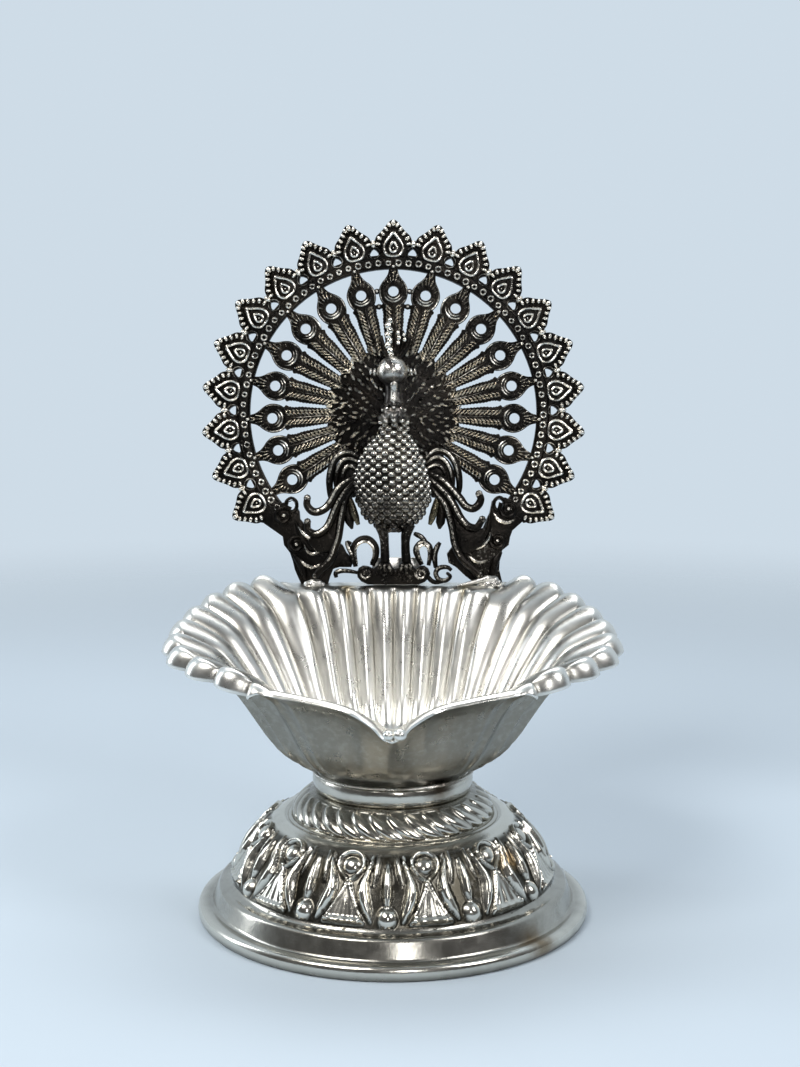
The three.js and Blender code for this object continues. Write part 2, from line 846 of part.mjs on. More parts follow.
// A bent wire of even thickness through points in the plate's frame
function wire(points, radius, sides = 5) {
  const path = new THREE.CatmullRomCurve3(points.map((p) => new THREE.Vector3(...p)), false, 'centripetal');
  const section = new THREE.Shape();
  for (let i = 0; i <= sides; i++) {
    const angle = (i / sides) * 2 * Math.PI;
    const at = [radius * Math.cos(angle), radius * Math.sin(angle)];
    if (i === 0) {
      section.moveTo(...at);
    } else if (i < sides) {
      section.lineTo(...at);
    }
  }
  section.closePath();
  const settings = { steps: 2 * points.length, extrudePath: path, bevelEnabled: false };
  return new THREE.ExtrudeGeometry(section, settings);
}

// Wing scrolls, as they lie on the left: x is mirrored for the right wing
const wingDepth = figureBack + 0.9;
const wingShoulder = [
  [-6.3, -6.6, 0],
  [-7.6, -6.2, 0.3],
  [-9.1, -7.0, 0.4],
  [-10.2, -8.6, 0.4],
  [-10.7, -11.0, 0.3],
  [-10.7, -13.6, 0],
];
const upperTendril = [
  [-7.7, -11.6, 0.6],
  [-9.7, -12.8, 0.8],
  [-11.2, -15.1, 0.6],
  [-12.6, -16.2, 0.3],
  [-14.1, -15.4, 0.2],
  [-14.2, -13.9, 0.1],
];
const middleTendril = [
  [-8.0, -12.8, 0.6],
  [-9.6, -15.5, 1.0],
  [-10.6, -17.4, 1.0],
  [-11.7, -19.0, 0.9],
  [-13.4, -19.6, 0.9],
  [-14.6, -18.4, 0.8],
];
const lowerTendril = [
  [-8.1, -13.8, 0.4],
  [-9.2, -17.6, 0.8],
  [-9.6, -20.8, 0.9],
  [-10.6, -23.8, 0.9],
  [-12.3, -25.6, 0.8],
  [-13.4, -26.6, 0.7],
];
const wingProng = [
  [-7.9, -14.2, -0.4],
  [-7.0, -16.4, -0.6],
  [-5.9, -18.6, -0.8],
];

function wing(side) {
  const placed = (run) => run.map(([x, y, z]) => [side * x, y, wingDepth + z]);
  const rootOutline = [
    [-7.2, -6.2],
    [-9.4, -6.9],
    [-10.5, -9.0],
    [-10.7, -13.0],
    [-9.4, -15.0],
    [-8.0, -15.2],
  ];
  for (const height of [-13, -11, -9, -7.4]) {
    rootOutline.push([-(bodyHalfAt(height) + partGap + 0.25), height]);
  }
  const rootShape = new THREE.Shape(rootOutline.map(([x, y]) => new THREE.Vector2(side * x, y)));
  const root = slab(rootShape, figureBack + 0.2, figureBack + 1.2);
  return geometryOf(
    joined([
      root,
      wire(placed(wingShoulder), shoulderWire),
      wire(placed(upperTendril), scrollWire),
      wire(placed(middleTendril), scrollWire),
      wire(placed(lowerTendril), scrollWire * 1.1),
      wire(placed(wingProng), scrollWire),
    ]),
  );
}

// Ground bar with a C-scroll on the left and a leaf scroll on the right of the legs
const leftCurl = [
  [-3.5, -25.6, 0],
  [-3.3, -22.8, 0],
  [-4.2, -21.1, 0],
  [-5.7, -21.3, 0],
  [-6.2, -23.0, 0],
  [-5.6, -25.4, 0],
];
const rightCurl = [
  [4.2, -25.6, 0],
  [4.1, -22.8, 0],
  [4.8, -21.2, 0],
  [6.0, -21.4, 0],
  [6.6, -23.2, 0],
  [6.2, -25.2, 0],
];

function groundScroll() {
  const middle = figureBack + groundBarDepth / 2;
  const foot = seatAt(figureBack, seatGap);
  const barTall = groundBarHeight + plateFoot - foot;
  const bar = new THREE.BoxGeometry(2 * groundBarHalfWidth, barTall, groundBarDepth);
  bar.translate(0, (plateFoot + groundBarHeight + foot) / 2, middle);
  const placed = (run) => run.map(([x, y, z]) => [x, y, middle + z]);
  const claws = [-0.5, 0.5].flatMap((side) =>
    [-1, 0, 1].map((toe) => {
      const x = side * legSpacing + legOffset + toe * clawSpacing;
      return ball(clawRadius, x, plateFoot + 0.8 * groundBarHeight, middle + groundBarDepth / 2);
    }),
  );
  const sideRun = [
    [-9.4, -26.6, 0],
    [-7.4, -26.0, 0],
    [-5.4, -26.2, 0],
    [-3.6, -26.6, 0],
  ];
  const otherRun = sideRun.map(([x, y, z]) => [-x, y, z]);
  return geometryOf(
    joined([
      bar,
      wire(placed(leftCurl), scrollWire),
      wire(placed(rightCurl), scrollWire),
      wire(placed(sideRun), scrollWire * 0.9),
      wire(placed(otherRun), scrollWire * 0.9),
      ...claws,
    ]),
  );
}

// Strip behind the feet, and the solder that holds plate and strip
function supportStrip() {
  const front = -plateBack - partGap;
  const foot = seatAt(front - stripThickness, seatGap);
  const strip = new THREE.BoxGeometry(stripWidth, stripHeight + plateFoot - foot, stripThickness);
  return strip.translate(stripMiddle, (plateFoot + stripHeight + foot) / 2, front - stripThickness / 2);
}

// A low drop of solder that rests on the ledge
function solderDrop(x, y, width, depth, height) {
  const sides = 14;
  const loops = [0, 30, 60].map((tilt) => {
    const loop = [];
    for (let i = 0; i < sides; i++) {
      const angle = (i / sides) * 2 * Math.PI;
      const reach = Math.cos(tilt * degrees);
      const rise = Math.sin(tilt * degrees);
      loop.push(new THREE.Vector3(reach * Math.cos(angle), reach * Math.sin(angle), rise));
    }
    return loop;
  });
  const geometry = bodyFromLoops(loops, [new THREE.Vector3(0, 0, 0), new THREE.Vector3(0, 0, 1)]);
  return geometry.scale(width / 2, depth / 2, height).translate(x, y, ledgeHeight + seatGap / 2);
}

function frontOfFoot(x, width, height) {
  const plateFront = fanDepth + plateFoot * Math.sin(lean) - plateBack * Math.cos(lean);
  return solderDrop(x, plateFront - partGap - solderSize / 2, width, solderSize, height);
}

function behindStrip() {
  const back = -plateBack - 2 * partGap - stripThickness;
  const behind = fanDepth + plateFoot * Math.sin(lean) - back * Math.cos(lean);
  return solderDrop(stripMiddle, behind + solderSize / 2, stripWidth * 0.9, solderSize, stripSolderHeight);
}

plate.add(piece('tail_fan', tailFan(), blackenedMetal()));
plate.add(piece('peacock_figure', peacockFigure(), blackenedMetal()));
plate.add(piece('body_peg', bodyPeg(), blackenedMetal()));
plate.add(piece('left_wing', wing(1), blackenedMetal()));
plate.add(piece('right_wing', wing(-1), blackenedMetal()));
plate.add(piece('ground_scroll', groundScroll(), blackenedMetal()));
plate.add(piece('support_strip', supportStrip(), brightMetal()));

const diya = new THREE.Group();
diya.add(piece('base_skirt', baseSkirt(), brightMetal()));
diya.add(piece('gadroon_collar', gadroonCollar(), brightMetal()));
diya.add(piece('neck_ring', neckRing(), brightMetal()));
diya.add(piece('neck_solder', neckSolder(), solderMetal()));
diya.add(piece('lamp_bowl', lampBowl(), brightMetal()));
const leftDrop = frontOfFoot(leftFootMiddle, leftSolderWidth, leftSolderHeight);
const rightDrop = frontOfFoot(rightFootMiddle, rightSolderWidth, rightSolderHeight);
diya.add(piece('left_foot_solder', leftDrop, solderMetal()));
diya.add(piece('right_foot_solder', rightDrop, solderMetal()));
diya.add(piece('strip_solder', behindStrip(), solderMetal()));
diya.add(plate);

export default diya;
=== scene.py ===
import bpy
import bmesh
import math
import random
from mathutils import Matrix, Vector, geometry, noise


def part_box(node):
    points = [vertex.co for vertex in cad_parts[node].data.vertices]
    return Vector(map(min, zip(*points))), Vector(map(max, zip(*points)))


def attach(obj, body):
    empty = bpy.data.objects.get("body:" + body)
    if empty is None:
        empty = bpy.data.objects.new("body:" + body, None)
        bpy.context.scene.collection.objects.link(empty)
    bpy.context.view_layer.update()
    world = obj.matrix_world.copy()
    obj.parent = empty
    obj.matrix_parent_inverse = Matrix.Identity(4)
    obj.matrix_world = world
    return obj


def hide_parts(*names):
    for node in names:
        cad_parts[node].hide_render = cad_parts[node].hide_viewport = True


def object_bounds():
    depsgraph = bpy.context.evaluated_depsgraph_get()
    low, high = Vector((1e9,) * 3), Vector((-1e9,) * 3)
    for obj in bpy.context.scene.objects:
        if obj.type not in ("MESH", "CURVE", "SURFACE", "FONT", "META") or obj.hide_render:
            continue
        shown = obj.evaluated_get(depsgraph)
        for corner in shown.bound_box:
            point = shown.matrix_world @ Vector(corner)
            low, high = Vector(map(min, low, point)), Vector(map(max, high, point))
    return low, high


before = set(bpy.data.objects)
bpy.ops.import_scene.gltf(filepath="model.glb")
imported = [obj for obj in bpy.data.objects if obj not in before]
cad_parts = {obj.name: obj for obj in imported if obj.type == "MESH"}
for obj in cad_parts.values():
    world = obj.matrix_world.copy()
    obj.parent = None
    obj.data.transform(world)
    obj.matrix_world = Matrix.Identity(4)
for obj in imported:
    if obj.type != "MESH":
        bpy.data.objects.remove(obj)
cadBox = [list(corner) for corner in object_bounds()]
print("frame loaded with", len(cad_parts), "nodes")

# Pieces are modelled in millimetres and scaled to metres when they are finished
mm = 0.001
up = Vector((0, 0, 1))

# The blackened plate has a frame of its own: x to the right, y up along the plate, z to the viewer
plate = {
    "lean": math.radians(6),
    "radius": 32.0,
    "height": 74.6,
    "back": 1.0,        # half of the plate's thickness
    "figureBack": 1.8,  # where the bird's flat back stands
}
plate["depth"] = cadBox[1][1] / mm - plate["radius"] * math.sin(plate["lean"]) - math.cos(plate["lean"])
plateMatrix = (
    Matrix.Translation((0, plate["depth"], plate["height"]))
    @ Matrix.Rotation(math.pi / 2 - plate["lean"], 4, "X")
)


def mix(a, b, t):
    return a + (b - a) * t


def clamp(value, low=0.0, high=1.0):
    return max(low, min(high, value))


def smooth(value, low=0.0, high=1.0):
    t = clamp((value - low) / (high - low))
    return t * t * (3 - 2 * t)


def swell(share, power=1.0):
    # height of a soft swelling, 1 in its middle and 0 at its edge
    return max(0.0, 1 - share * share) ** power


def valueAt(values, t):
    # a value along an evenly spaced list
    place = clamp(t) * (len(values) - 1)
    low = min(int(place), len(values) - 2)
    return mix(values[low], values[low + 1], place - low)


def polar(radius, angle, z=0.0):
    return Vector((radius * math.sin(math.radians(angle)), radius * math.cos(math.radians(angle)), z))


def turned(radius, angle, z):
    # a point of a piece that is round about the lamp's axis; angle 0 is at the front
    return Vector((radius * math.sin(angle), -radius * math.cos(angle), z))


def lifted(points, z=0.0):
    return [Vector((p[0], p[1], (p[2] if len(p) > 2 else 0) + z)) for p in points]


def flipped(points):
    # the other half of a mirror-like outline, run the other way
    return [(-x, y) for x, y in reversed(points)]


def smoothRun(points, steps, closed=False):
    # a smooth curve through chosen points
    corners = [Vector(p) for p in points]
    count = len(corners)
    run = []
    for i in range(count if closed else count - 1):
        a, b = corners[i], corners[(i + 1) % count]
        before = corners[i - 1] if closed or i > 0 else a
        after = corners[(i + 2) % count] if closed or i + 2 < count else b
        span = (b - a).length
        handleA = a + (b - before) * (span / (span + (a - before).length) / 3)
        handleB = b - (after - a) * (span / (span + (after - b).length) / 3)
        run += geometry.interpolate_bezier(a, handleA, handleB, b, steps + 1)[:-1]
    if not closed:
        run.append(corners[-1])
    return [Vector(p) for p in run]


def only(items, kind):
    return [item for item in items if isinstance(item, kind)]


def swept(bm, points, radii, sides=8, steps=5, closed=False, flat=1.0, facing=up):
    # a tapering bar along a curve; flat presses it towards the plate
    run = smoothRun(points, steps, closed)
    count = len(run)
    ring = bmesh.ops.create_circle(bm, segments=sides, radius=1)["verts"]
    edges = list(dict.fromkeys(edge for vert in ring for edge in vert.link_edges))
    firstEdges, previous = edges, Matrix.Identity(4)
    for i, point in enumerate(run):
        if closed:
            ahead, behind = run[(i + 1) % count], run[i - 1]
        else:
            ahead, behind = run[min(i + 1, count - 1)], run[max(i - 1, 0)]
        along = (ahead - behind).normalized()
        aside = along.cross(facing).normalized()
        rise = aside.cross(along)
        width = valueAt(radii, i / count if closed else i / (count - 1))
        turn = Matrix((aside * width, rise * width * flat, along * width)).transposed().to_4x4()
        matrix = Matrix.Translation(point) @ turn
        if i > 0:
            made = bmesh.ops.extrude_edge_only(bm, edges=edges)["geom"]
            ring = only(made, bmesh.types.BMVert)
            fresh = set(ring)
            edges = [edge for edge in only(made, bmesh.types.BMEdge) if fresh.issuperset(edge.verts)]
        bmesh.ops.transform(bm, matrix=matrix @ previous.inverted(), verts=ring)
        previous = matrix
    if closed:
        bmesh.ops.bridge_loops(bm, edges=firstEdges + edges)
    else:
        bmesh.ops.contextual_create(bm, geom=firstEdges)
        bmesh.ops.contextual_create(bm, geom=edges)


def surface(columns, rows, place):
    # a grid bent into a closed piece: place gives a point, and its share of dark film, tarnish together with
    # painted shade, from u round the piece and v along it
    bm = bmesh.new()
    filmAndShade = bm.verts.layers.float.new("filmAndShade")
    bmesh.ops.create_grid(bm, x_segments=columns, y_segments=rows, size=0.5)
    for vert in bm.verts:
        vert.co, vert[filmAndShade] = place(vert.co.x + 0.5, vert.co.y + 0.5)
    bmesh.ops.remove_doubles(bm, verts=bm.verts, dist=1e-4)
    return bm


def slab(bm, outline, low, high, holes=(), rounding=0.2, segments=2):
    # a flat piece of the plate with a rounded front edge
    edges = []
    for loop in [outline, *holes]:
        verts = [bm.verts.new((p[0], p[1], low)) for p in loop]
        edges += [bm.edges.new((verts[i - 1], verts[i])) for i in range(len(verts))]
    back = only(bmesh.ops.triangle_fill(bm, edges=edges, use_beauty=True)["geom"], bmesh.types.BMFace)
    made = bmesh.ops.extrude_face_region(bm, geom=back, use_keep_orig=True)["geom"]
    front = dict.fromkeys(only(made, bmesh.types.BMVert))
    bmesh.ops.translate(bm, vec=(0, 0, high - low), verts=list(front))
    rim = [
        edge for edge in dict.fromkeys(edge for vert in front for edge in vert.link_edges)
        if all(vert in front for vert in edge.verts)
        and any(vert not in front for face in edge.link_faces for vert in face.verts)
    ]
    bmesh.ops.bevel(
        bm, geom=rim, offset=rounding, affect="EDGES", segments=segments, profile=0.5, material=-1,
        clamp_overlap=True,
    )


def placed(at, turn, size):
    spin = Matrix.Rotation(math.radians(turn), 4, "Z")
    return Matrix.Translation(at) @ spin @ Matrix.Diagonal((*size, 1))


def bead(bm, at, size, stretch=(1, 1, 1), turn=0.0, sides=8, rings=5):
    matrix = placed(at, turn, [size * part for part in stretch])
    bmesh.ops.create_uvsphere(bm, u_segments=sides, v_segments=rings, radius=1, matrix=matrix)


def grain(bm, at, length, width, turn, height):
    # a short raised dash, as a barb or a leaf vein
    matrix = placed(at, turn, (width, length, height))
    bmesh.ops.create_icosphere(bm, subdivisions=1, radius=1, matrix=matrix)


def oval(centre, halfWidth, halfHeight, sides):
    angles = [i * math.tau / sides for i in range(sides)]
    return [(centre[0] + halfWidth * math.cos(a), centre[1] + halfHeight * math.sin(a)) for a in angles]


def ringBead(bm, at, outer, thick, sides):
    swept(bm, lifted(oval(at, outer, outer, sides), at[2]), [thick, thick], sides=5, steps=1, closed=True)


def spiral(centre, outer, inner, turns, start, z):
    count = int(turns * 9)
    points = []
    for i in range(count + 1):
        reach = mix(outer, inner, i / count)
        angle = math.radians(start + 360 * turns * i / count)
        points.append(Vector((centre[0] + reach * math.cos(angle), centre[1] + reach * math.sin(angle), z)))
    return points


def stamped(bm, part, matrices):
    # copies of one modelled part
    shape = bpy.data.meshes.new("part")
    part.to_mesh(shape)
    part.free()
    for matrix in matrices:
        copy = shape.copy()
        copy.transform(matrix)
        bm.from_mesh(copy, face_normals=False, vertex_normals=False)
        bpy.data.meshes.remove(copy)
    bpy.data.meshes.remove(shape)


def markWear(bm, curve=0.35, field=None, reach=1.0, base=0.0, since=0):
    # how bare a point is rubbed: by how sharply it stands out, and how high over the plate's field
    wearAndPaintedLight = bm.verts.layers.float.get("wearAndPaintedLight") or bm.verts.layers.float.new("wearAndPaintedLight")
    bm.normal_update()
    for vert in list(bm.verts)[since:]:
        bend, count = 0.0, 0
        for edge in vert.link_edges:
            way = edge.other_vert(vert).co - vert.co
            length = way.length
            if length > 1e-6:
                bend -= 2 * vert.normal.dot(way) / (length * length)
                count += 1
        value = base + clamp(curve * bend / max(count, 1), -0.6, 0.6)
        if field is not None:
            value = 0.5 * value + 0.85 * smooth(vert.co.z, field, field + reach)
        vert[wearAndPaintedLight] = clamp(value)


def finished(name, bm, material, replaced=(), place=None, sharp=45):
    bmesh.ops.recalc_face_normals(bm, faces=bm.faces)
    if place is not None:
        bmesh.ops.transform(bm, matrix=place, verts=bm.verts)
    bmesh.ops.scale(bm, vec=(mm, mm, mm), verts=bm.verts)
    mesh = bpy.data.meshes.new(name)
    bm.to_mesh(mesh)
    bm.free()
    mesh.shade_smooth()
    mesh.set_sharp_from_angle(angle=math.radians(sharp))
    mesh.materials.append(material)
    piece = bpy.data.objects.new(name, mesh)
    bpy.context.scene.collection.objects.link(piece)
    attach(piece, "root")
    if replaced:
        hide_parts(*replaced)
    print("made", name, "with", len(mesh.polygons), "faces")


def finishedCasting(name, bm, material, node):
    # a piece of the blackened plate
    finished(name, bm, material, [node], plateMatrix)


# Node groups that more than one finish uses
def newGroup(name, inputs, output):
    group = bpy.data.node_groups.new(name, "ShaderNodeTree")
    for label, value in inputs.items():
        socket = group.interface.new_socket(name=label, in_out="INPUT", socket_type="NodeSocketFloat")
        socket.default_value = value
    group.interface.new_socket(name=output, in_out="OUTPUT", socket_type="NodeSocketFloat")
    return group, group.nodes.new("NodeGroupInput").outputs, group.nodes.new("NodeGroupOutput")


def feed(tree, node, given):
    # each input takes a value, or what another node puts out
    for label, value in given.items():
        if isinstance(value, bpy.types.NodeSocket):
            tree.links.new(value, node.inputs[label])
        else:
            node.inputs[label].default_value = value


def newNode(tree, kind, given, output=0, **settings):
    node = tree.nodes.new("ShaderNode" + kind)
    for name, value in settings.items():
        setattr(node, name, value)
    feed(tree, node, given)
    return node.outputs[output]


def mathNode(tree, operation, a, b, clamped=False):
    return newNode(tree, "Math", {0: a, 1: b}, operation=operation, use_clamp=clamped)


def noiseNode(tree, vector, scale, detail=3.0, rough=0.5):
    given = {"Vector": vector, "Scale": scale, "Detail": detail, "Roughness": rough}
    return newNode(tree, "TexNoise", given, "Fac")


def rangeNode(tree, value, low, high, toLow=0.0, toHigh=1.0):
    given = {"Value": value, "From Min": low, "From Max": high, "To Min": toLow, "To Max": toHigh}
    return newNode(tree, "MapRange", given, "Result", interpolation_type="SMOOTHSTEP")


def mixColour(tree, share, a, b):
    # sockets 6 and 7 of a Mix node are its colours, and 2 is the mixed one
    a, b = ((*value, 1) if isinstance(value, tuple) else value for value in (a, b))
    return newNode(tree, "Mix", {0: share, 6: a, 7: b}, 2, data_type="RGBA")


def tarnishAndShadeGroup():
    # dark film that stays in hollows, tarnish together with painted shade, and in soft clouds
    group, given, result = newGroup("tarnishAndShade", {"Amount": 1.0, "Cloud": 0.3, "Scale": 120.0}, "Mask")
    place = newNode(group, "TexCoord", {}, "Object")
    soft = rangeNode(group, noiseNode(group, place, given["Scale"], 4.0, 0.6), 0.45, 0.75)
    spots = rangeNode(group, noiseNode(group, place, 900.0, 3.0, 0.6), 0.2, 0.6, 0.85, 1.0)
    filmAndShade = newNode(group, "Attribute", {}, "Fac", attribute_name="filmAndShade")
    hollowFilmAndShade = mathNode(group, "MULTIPLY", mathNode(group, "MULTIPLY", filmAndShade, spots), given["Amount"])
    clouds = mathNode(group, "MULTIPLY", soft, given["Cloud"])
    feed(group, result, {"Mask": mathNode(group, "ADD", hollowFilmAndShade, clouds, True)})
    return group


def marksGroup():
    # height of handling marks: fine scratches in two directions and a slow waviness
    group, given, result = newGroup("handlingMarks", {"Wave": 1.0, "Scratch": 1.0, "Pit": 0.0}, "Height")
    place = newNode(group, "TexCoord", {}, "Object")
    total = mathNode(group, "MULTIPLY", noiseNode(group, place, 110.0, 2.0), given["Wave"])
    for turn in (0.6, 2.1):
        stretched = {"Vector": place, "Rotation": (turn, turn / 2, turn), "Scale": (1, 14, 1)}
        lines = noiseNode(group, newNode(group, "Mapping", stretched, "Vector"), 420.0, 2.0, 0.7)
        fine = mathNode(group, "MULTIPLY", rangeNode(group, lines, 0.62, 0.7), given["Scratch"])
        total = mathNode(group, "ADD", total, mathNode(group, "MULTIPLY", fine, 0.06))
    pits = rangeNode(group, noiseNode(group, place, 1500.0, 2.0, 0.7), 0.35, 0.6)
    total = mathNode(group, "ADD", total, mathNode(group, "MULTIPLY", pits, given["Pit"]))
    feed(group, result, {"Height": total})
    return group


tarnishAndShade = tarnishAndShadeGroup()
marks = marksGroup()


def placedGroup(tree, group, **values):
    return newNode(tree, "Group", values, node_tree=group)


def newMaterial(name):
    material = bpy.data.materials.new(name)
    material.use_nodes = True
    tree = material.node_tree
    return material, tree, tree.nodes["Principled BSDF"]


def bumped(tree, strength, **values):
    height = placedGroup(tree, marks, **values)
    return newNode(tree, "Bump", {"Strength": strength, "Distance": 0.2 * mm, "Height": height})


def polishedMetal(name, finish):
    # white metal: pale and bright, with an olive grey film in the hollows, tarnish together with painted shade,
    # and a brown heat stain
    material, tree, shader = newMaterial(name)
    tarnishShadeMask = placedGroup(tree, tarnishAndShade, Amount=finish["film"], Cloud=finish["cloud"], Scale=finish["cloudScale"])
    colour = mixColour(tree, tarnishShadeMask, finish["clean"], finish["dull"])
    place = newNode(tree, "TexCoord", {}, "Object")
    for spot, reach, tint in finish["stains"]:
        middle = [value * mm for value in spot]
        apart = newNode(tree, "VectorMath", {0: place, 1: middle}, "Value", operation="DISTANCE")
        uneven = mathNode(tree, "MULTIPLY", noiseNode(tree, place, 260.0, 4.0, 0.65), reach * mm * 1.2)
        far = mathNode(tree, "ADD", apart, uneven)
        stain = rangeNode(tree, far, reach * mm * 0.6, reach * mm * 1.7, 0.85, 0.0)
        colour = mixColour(tree, stain, colour, tint)
    polish = rangeNode(tree, noiseNode(tree, place, 350.0, 4.0, 0.6), 0.35, 0.7, *finish["rough"])
    filmedAndShaded = mathNode(tree, "MULTIPLY", tarnishShadeMask, finish["filmRough"])
    feed(tree, shader, {
        "Base Color": colour, "Metallic": 1.0, "Roughness": mathNode(tree, "ADD", polish, filmedAndShaded, True),
        "Normal": bumped(tree, 0.35, Wave=finish["wave"], Scratch=finish["wave"] ** 2, Pit=finish["pit"]),
    })
    return material


def blackenedMetal(name, finish):
    # casting blackened in its recesses, with the pale metal showing on whatever stands out, and with the
    # highlights and shade that some pieces paint into the same attribute
    material, tree, shader = newMaterial(name)
    place = newNode(tree, "TexCoord", {}, "Object")
    patch = noiseNode(tree, place, 800.0, 4.0, 0.65)
    broad = noiseNode(tree, place, 150.0, 3.0, 0.5)
    grit = noiseNode(tree, place, 2600.0, 2.0, 0.6)
    wearAndPaintedLight = newNode(tree, "Attribute", {}, "Fac", attribute_name="wearAndPaintedLight")
    for uneven, share in ((patch, "patchy"), (broad, "patchy"), (grit, "grit")):
        shift = mathNode(tree, "MULTIPLY", mathNode(tree, "SUBTRACT", uneven, 0.5), finish[share])
        wearAndPaintedLight = mathNode(tree, "ADD", wearAndPaintedLight, shift)
    bare = rangeNode(tree, wearAndPaintedLight, finish["bareFrom"], finish["bareTo"])
    film = mixColour(tree, rangeNode(tree, broad, 0.4, 0.65), finish["black"], finish["brown"])
    rough = rangeNode(tree, patch, 0.3, 0.7, *finish["rough"])
    feed(tree, shader, {
        "Base Color": mixColour(tree, bare, film, finish["silver"]),
        "Metallic": rangeNode(tree, bare, 0.0, 0.5, finish["metal"], 1.0),
        "Roughness": mathNode(tree, "ADD", rough, mathNode(tree, "MULTIPLY", bare, -0.06)),
        "Normal": bumped(tree, 0.4, Wave=0.6, Scratch=0.3, Pit=0.35),
    })
    return material


heatStain = ((6.8, -9.6, 21.6), 3.2, (0.11, 0.07, 0.035))
skirtMetal = polishedMetal("polished_foot", {
    "clean": (0.70, 0.675, 0.605), "dull": (0.05, 0.045, 0.034), "film": 0.95, "cloud": 0.2, "cloudScale": 90.0,
    "rough": (0.16, 0.24), "filmRough": 0.08, "wave": 0.6, "pit": 0.05,
    "stains": [((21.0, -20.0, 2.0), 4.0, (0.20, 0.13, 0.06)), ((17.0, -13.0, 12.0), 2.6, (0.22, 0.15, 0.07))],
})
neckMetal = polishedMetal("polished_neck", {
    "clean": (0.64, 0.615, 0.55), "dull": (0.07, 0.063, 0.046), "film": 0.95, "cloud": 0.3, "cloudScale": 140.0,
    "rough": (0.13, 0.22), "filmRough": 0.14, "wave": 0.9, "pit": 0.05, "stains": [heatStain],
})
bowlMetal = polishedMetal("polished_bowl", {
    "clean": (0.84, 0.825, 0.775), "dull": (0.12, 0.105, 0.072), "film": 0.92, "cloud": 0.05,
    "cloudScale": 80.0, "rough": (0.27, 0.35), "filmRough": 0.0, "wave": 0.22, "pit": 0.0,
    "stains": [
        heatStain, ((-8.0, 22.5, 46.4), 2.6, (0.30, 0.24, 0.13)), ((11.5, 22.5, 46.4), 2.2, (0.26, 0.22, 0.13)),
    ],
})
solderMetal = polishedMetal("soft_solder", {
    "clean": (0.66, 0.64, 0.60), "dull": (0.20, 0.17, 0.12), "film": 0.6, "cloud": 0.5, "cloudScale": 420.0,
    "rough": (0.22, 0.38), "filmRough": 0.2, "wave": 1.2, "pit": 0.4, "stains": [heatStain],
})
plateMetal = blackenedMetal("blackened_plate", {
    "black": (0.008, 0.007, 0.006), "brown": (0.017, 0.014, 0.011), "silver": (0.86, 0.815, 0.73),
    "bareFrom": 0.33, "bareTo": 0.7, "metal": 0.86, "patchy": 0.5, "grit": 0.4, "rough": (0.24, 0.38),
})
birdMetal = blackenedMetal("blackened_bird", {
    "black": (0.014, 0.012, 0.010), "brown": (0.04, 0.034, 0.027), "silver": (0.84, 0.81, 0.74),
    "bareFrom": 0.3, "bareTo": 0.75, "metal": 0.85, "patchy": 0.3, "grit": 0.2, "rough": (0.13, 0.24),
})
headMetal = blackenedMetal("rubbed_head", {
    "black": (0.030, 0.028, 0.028), "brown": (0.06, 0.052, 0.045), "silver": (0.80, 0.77, 0.71),
    "bareFrom": 0.3, "bareTo": 0.8, "metal": 0.9, "patchy": 0.35, "grit": 0.25, "rough": (0.26, 0.38),
})
scrollMetal = blackenedMetal("blackened_scrolls", {
    "black": (0.008, 0.007, 0.006), "brown": (0.017, 0.014, 0.011), "silver": (0.82, 0.77, 0.68),
    "bareFrom": 0.34, "bareTo": 0.72, "metal": 0.84, "patchy": 0.4, "grit": 0.8, "rough": (0.26, 0.4),
})
prongMetal = blackenedMetal("bare_prong", {
    "black": (0.08, 0.07, 0.05), "brown": (0.16, 0.14, 0.09), "silver": (0.46, 0.42, 0.31),
    "bareFrom": 0.2, "bareTo": 0.9, "metal": 0.9, "patchy": 0.5, "grit": 0.2, "rough": (0.2, 0.3),
})
print("finishes made")

# Foot: flange, step, band of lotus motifs and the seat of the collar
skirt = {
    "flange": 30.0, "flangeThick": 2.2, "edge": 0.62, "step": 27.8, "stepTop": 25.9, "stepHeight": 5.1,
    "wallTop": (26.85, 4.55), "wallCorner": (26.65, 5.1),
    "bandFoot": (24.7, 5.8), "bandTop": (16.9, 15.35), "shoulder": (19.9, 15.3), "motifFrom": 1.5,
    "seat": 15.0, "seatInner": 13.3, "wall": 0.9,
    "rise": [(25.3, 5.15), (25.0, 5.35), (24.8, 5.6)],
    "seatLip": [(0.3, 0.03), (0.6, 0.0), (0.8, -0.16), (1.0, -0.02), (1.2, 0.04), (1.4, -0.02), (1.6, -0.2)],
    "inside": [(17.6, 14.1), (19.2, 13.0), (21.4, 10.6), (23.1, 6.0), (24.6, 4.2), (26.4, 2.6), (26.9, 1.2)],
    "motifs": 12, "turn": 13.3, "motifRelief": 0.95, "motifColumns": 56, "bandRows": 74,
}


def rib(aside, down, run, path, widths, heights):
    # a raised rib: its middle line, half widths and heights are listed along run
    share = (down - run[0]) / (run[1] - run[0])
    if not 0 < share < 1:
        return 0.0
    return valueAt(heights, share) * swell((aside - valueAt(path, share)) / valueAt(widths, share))


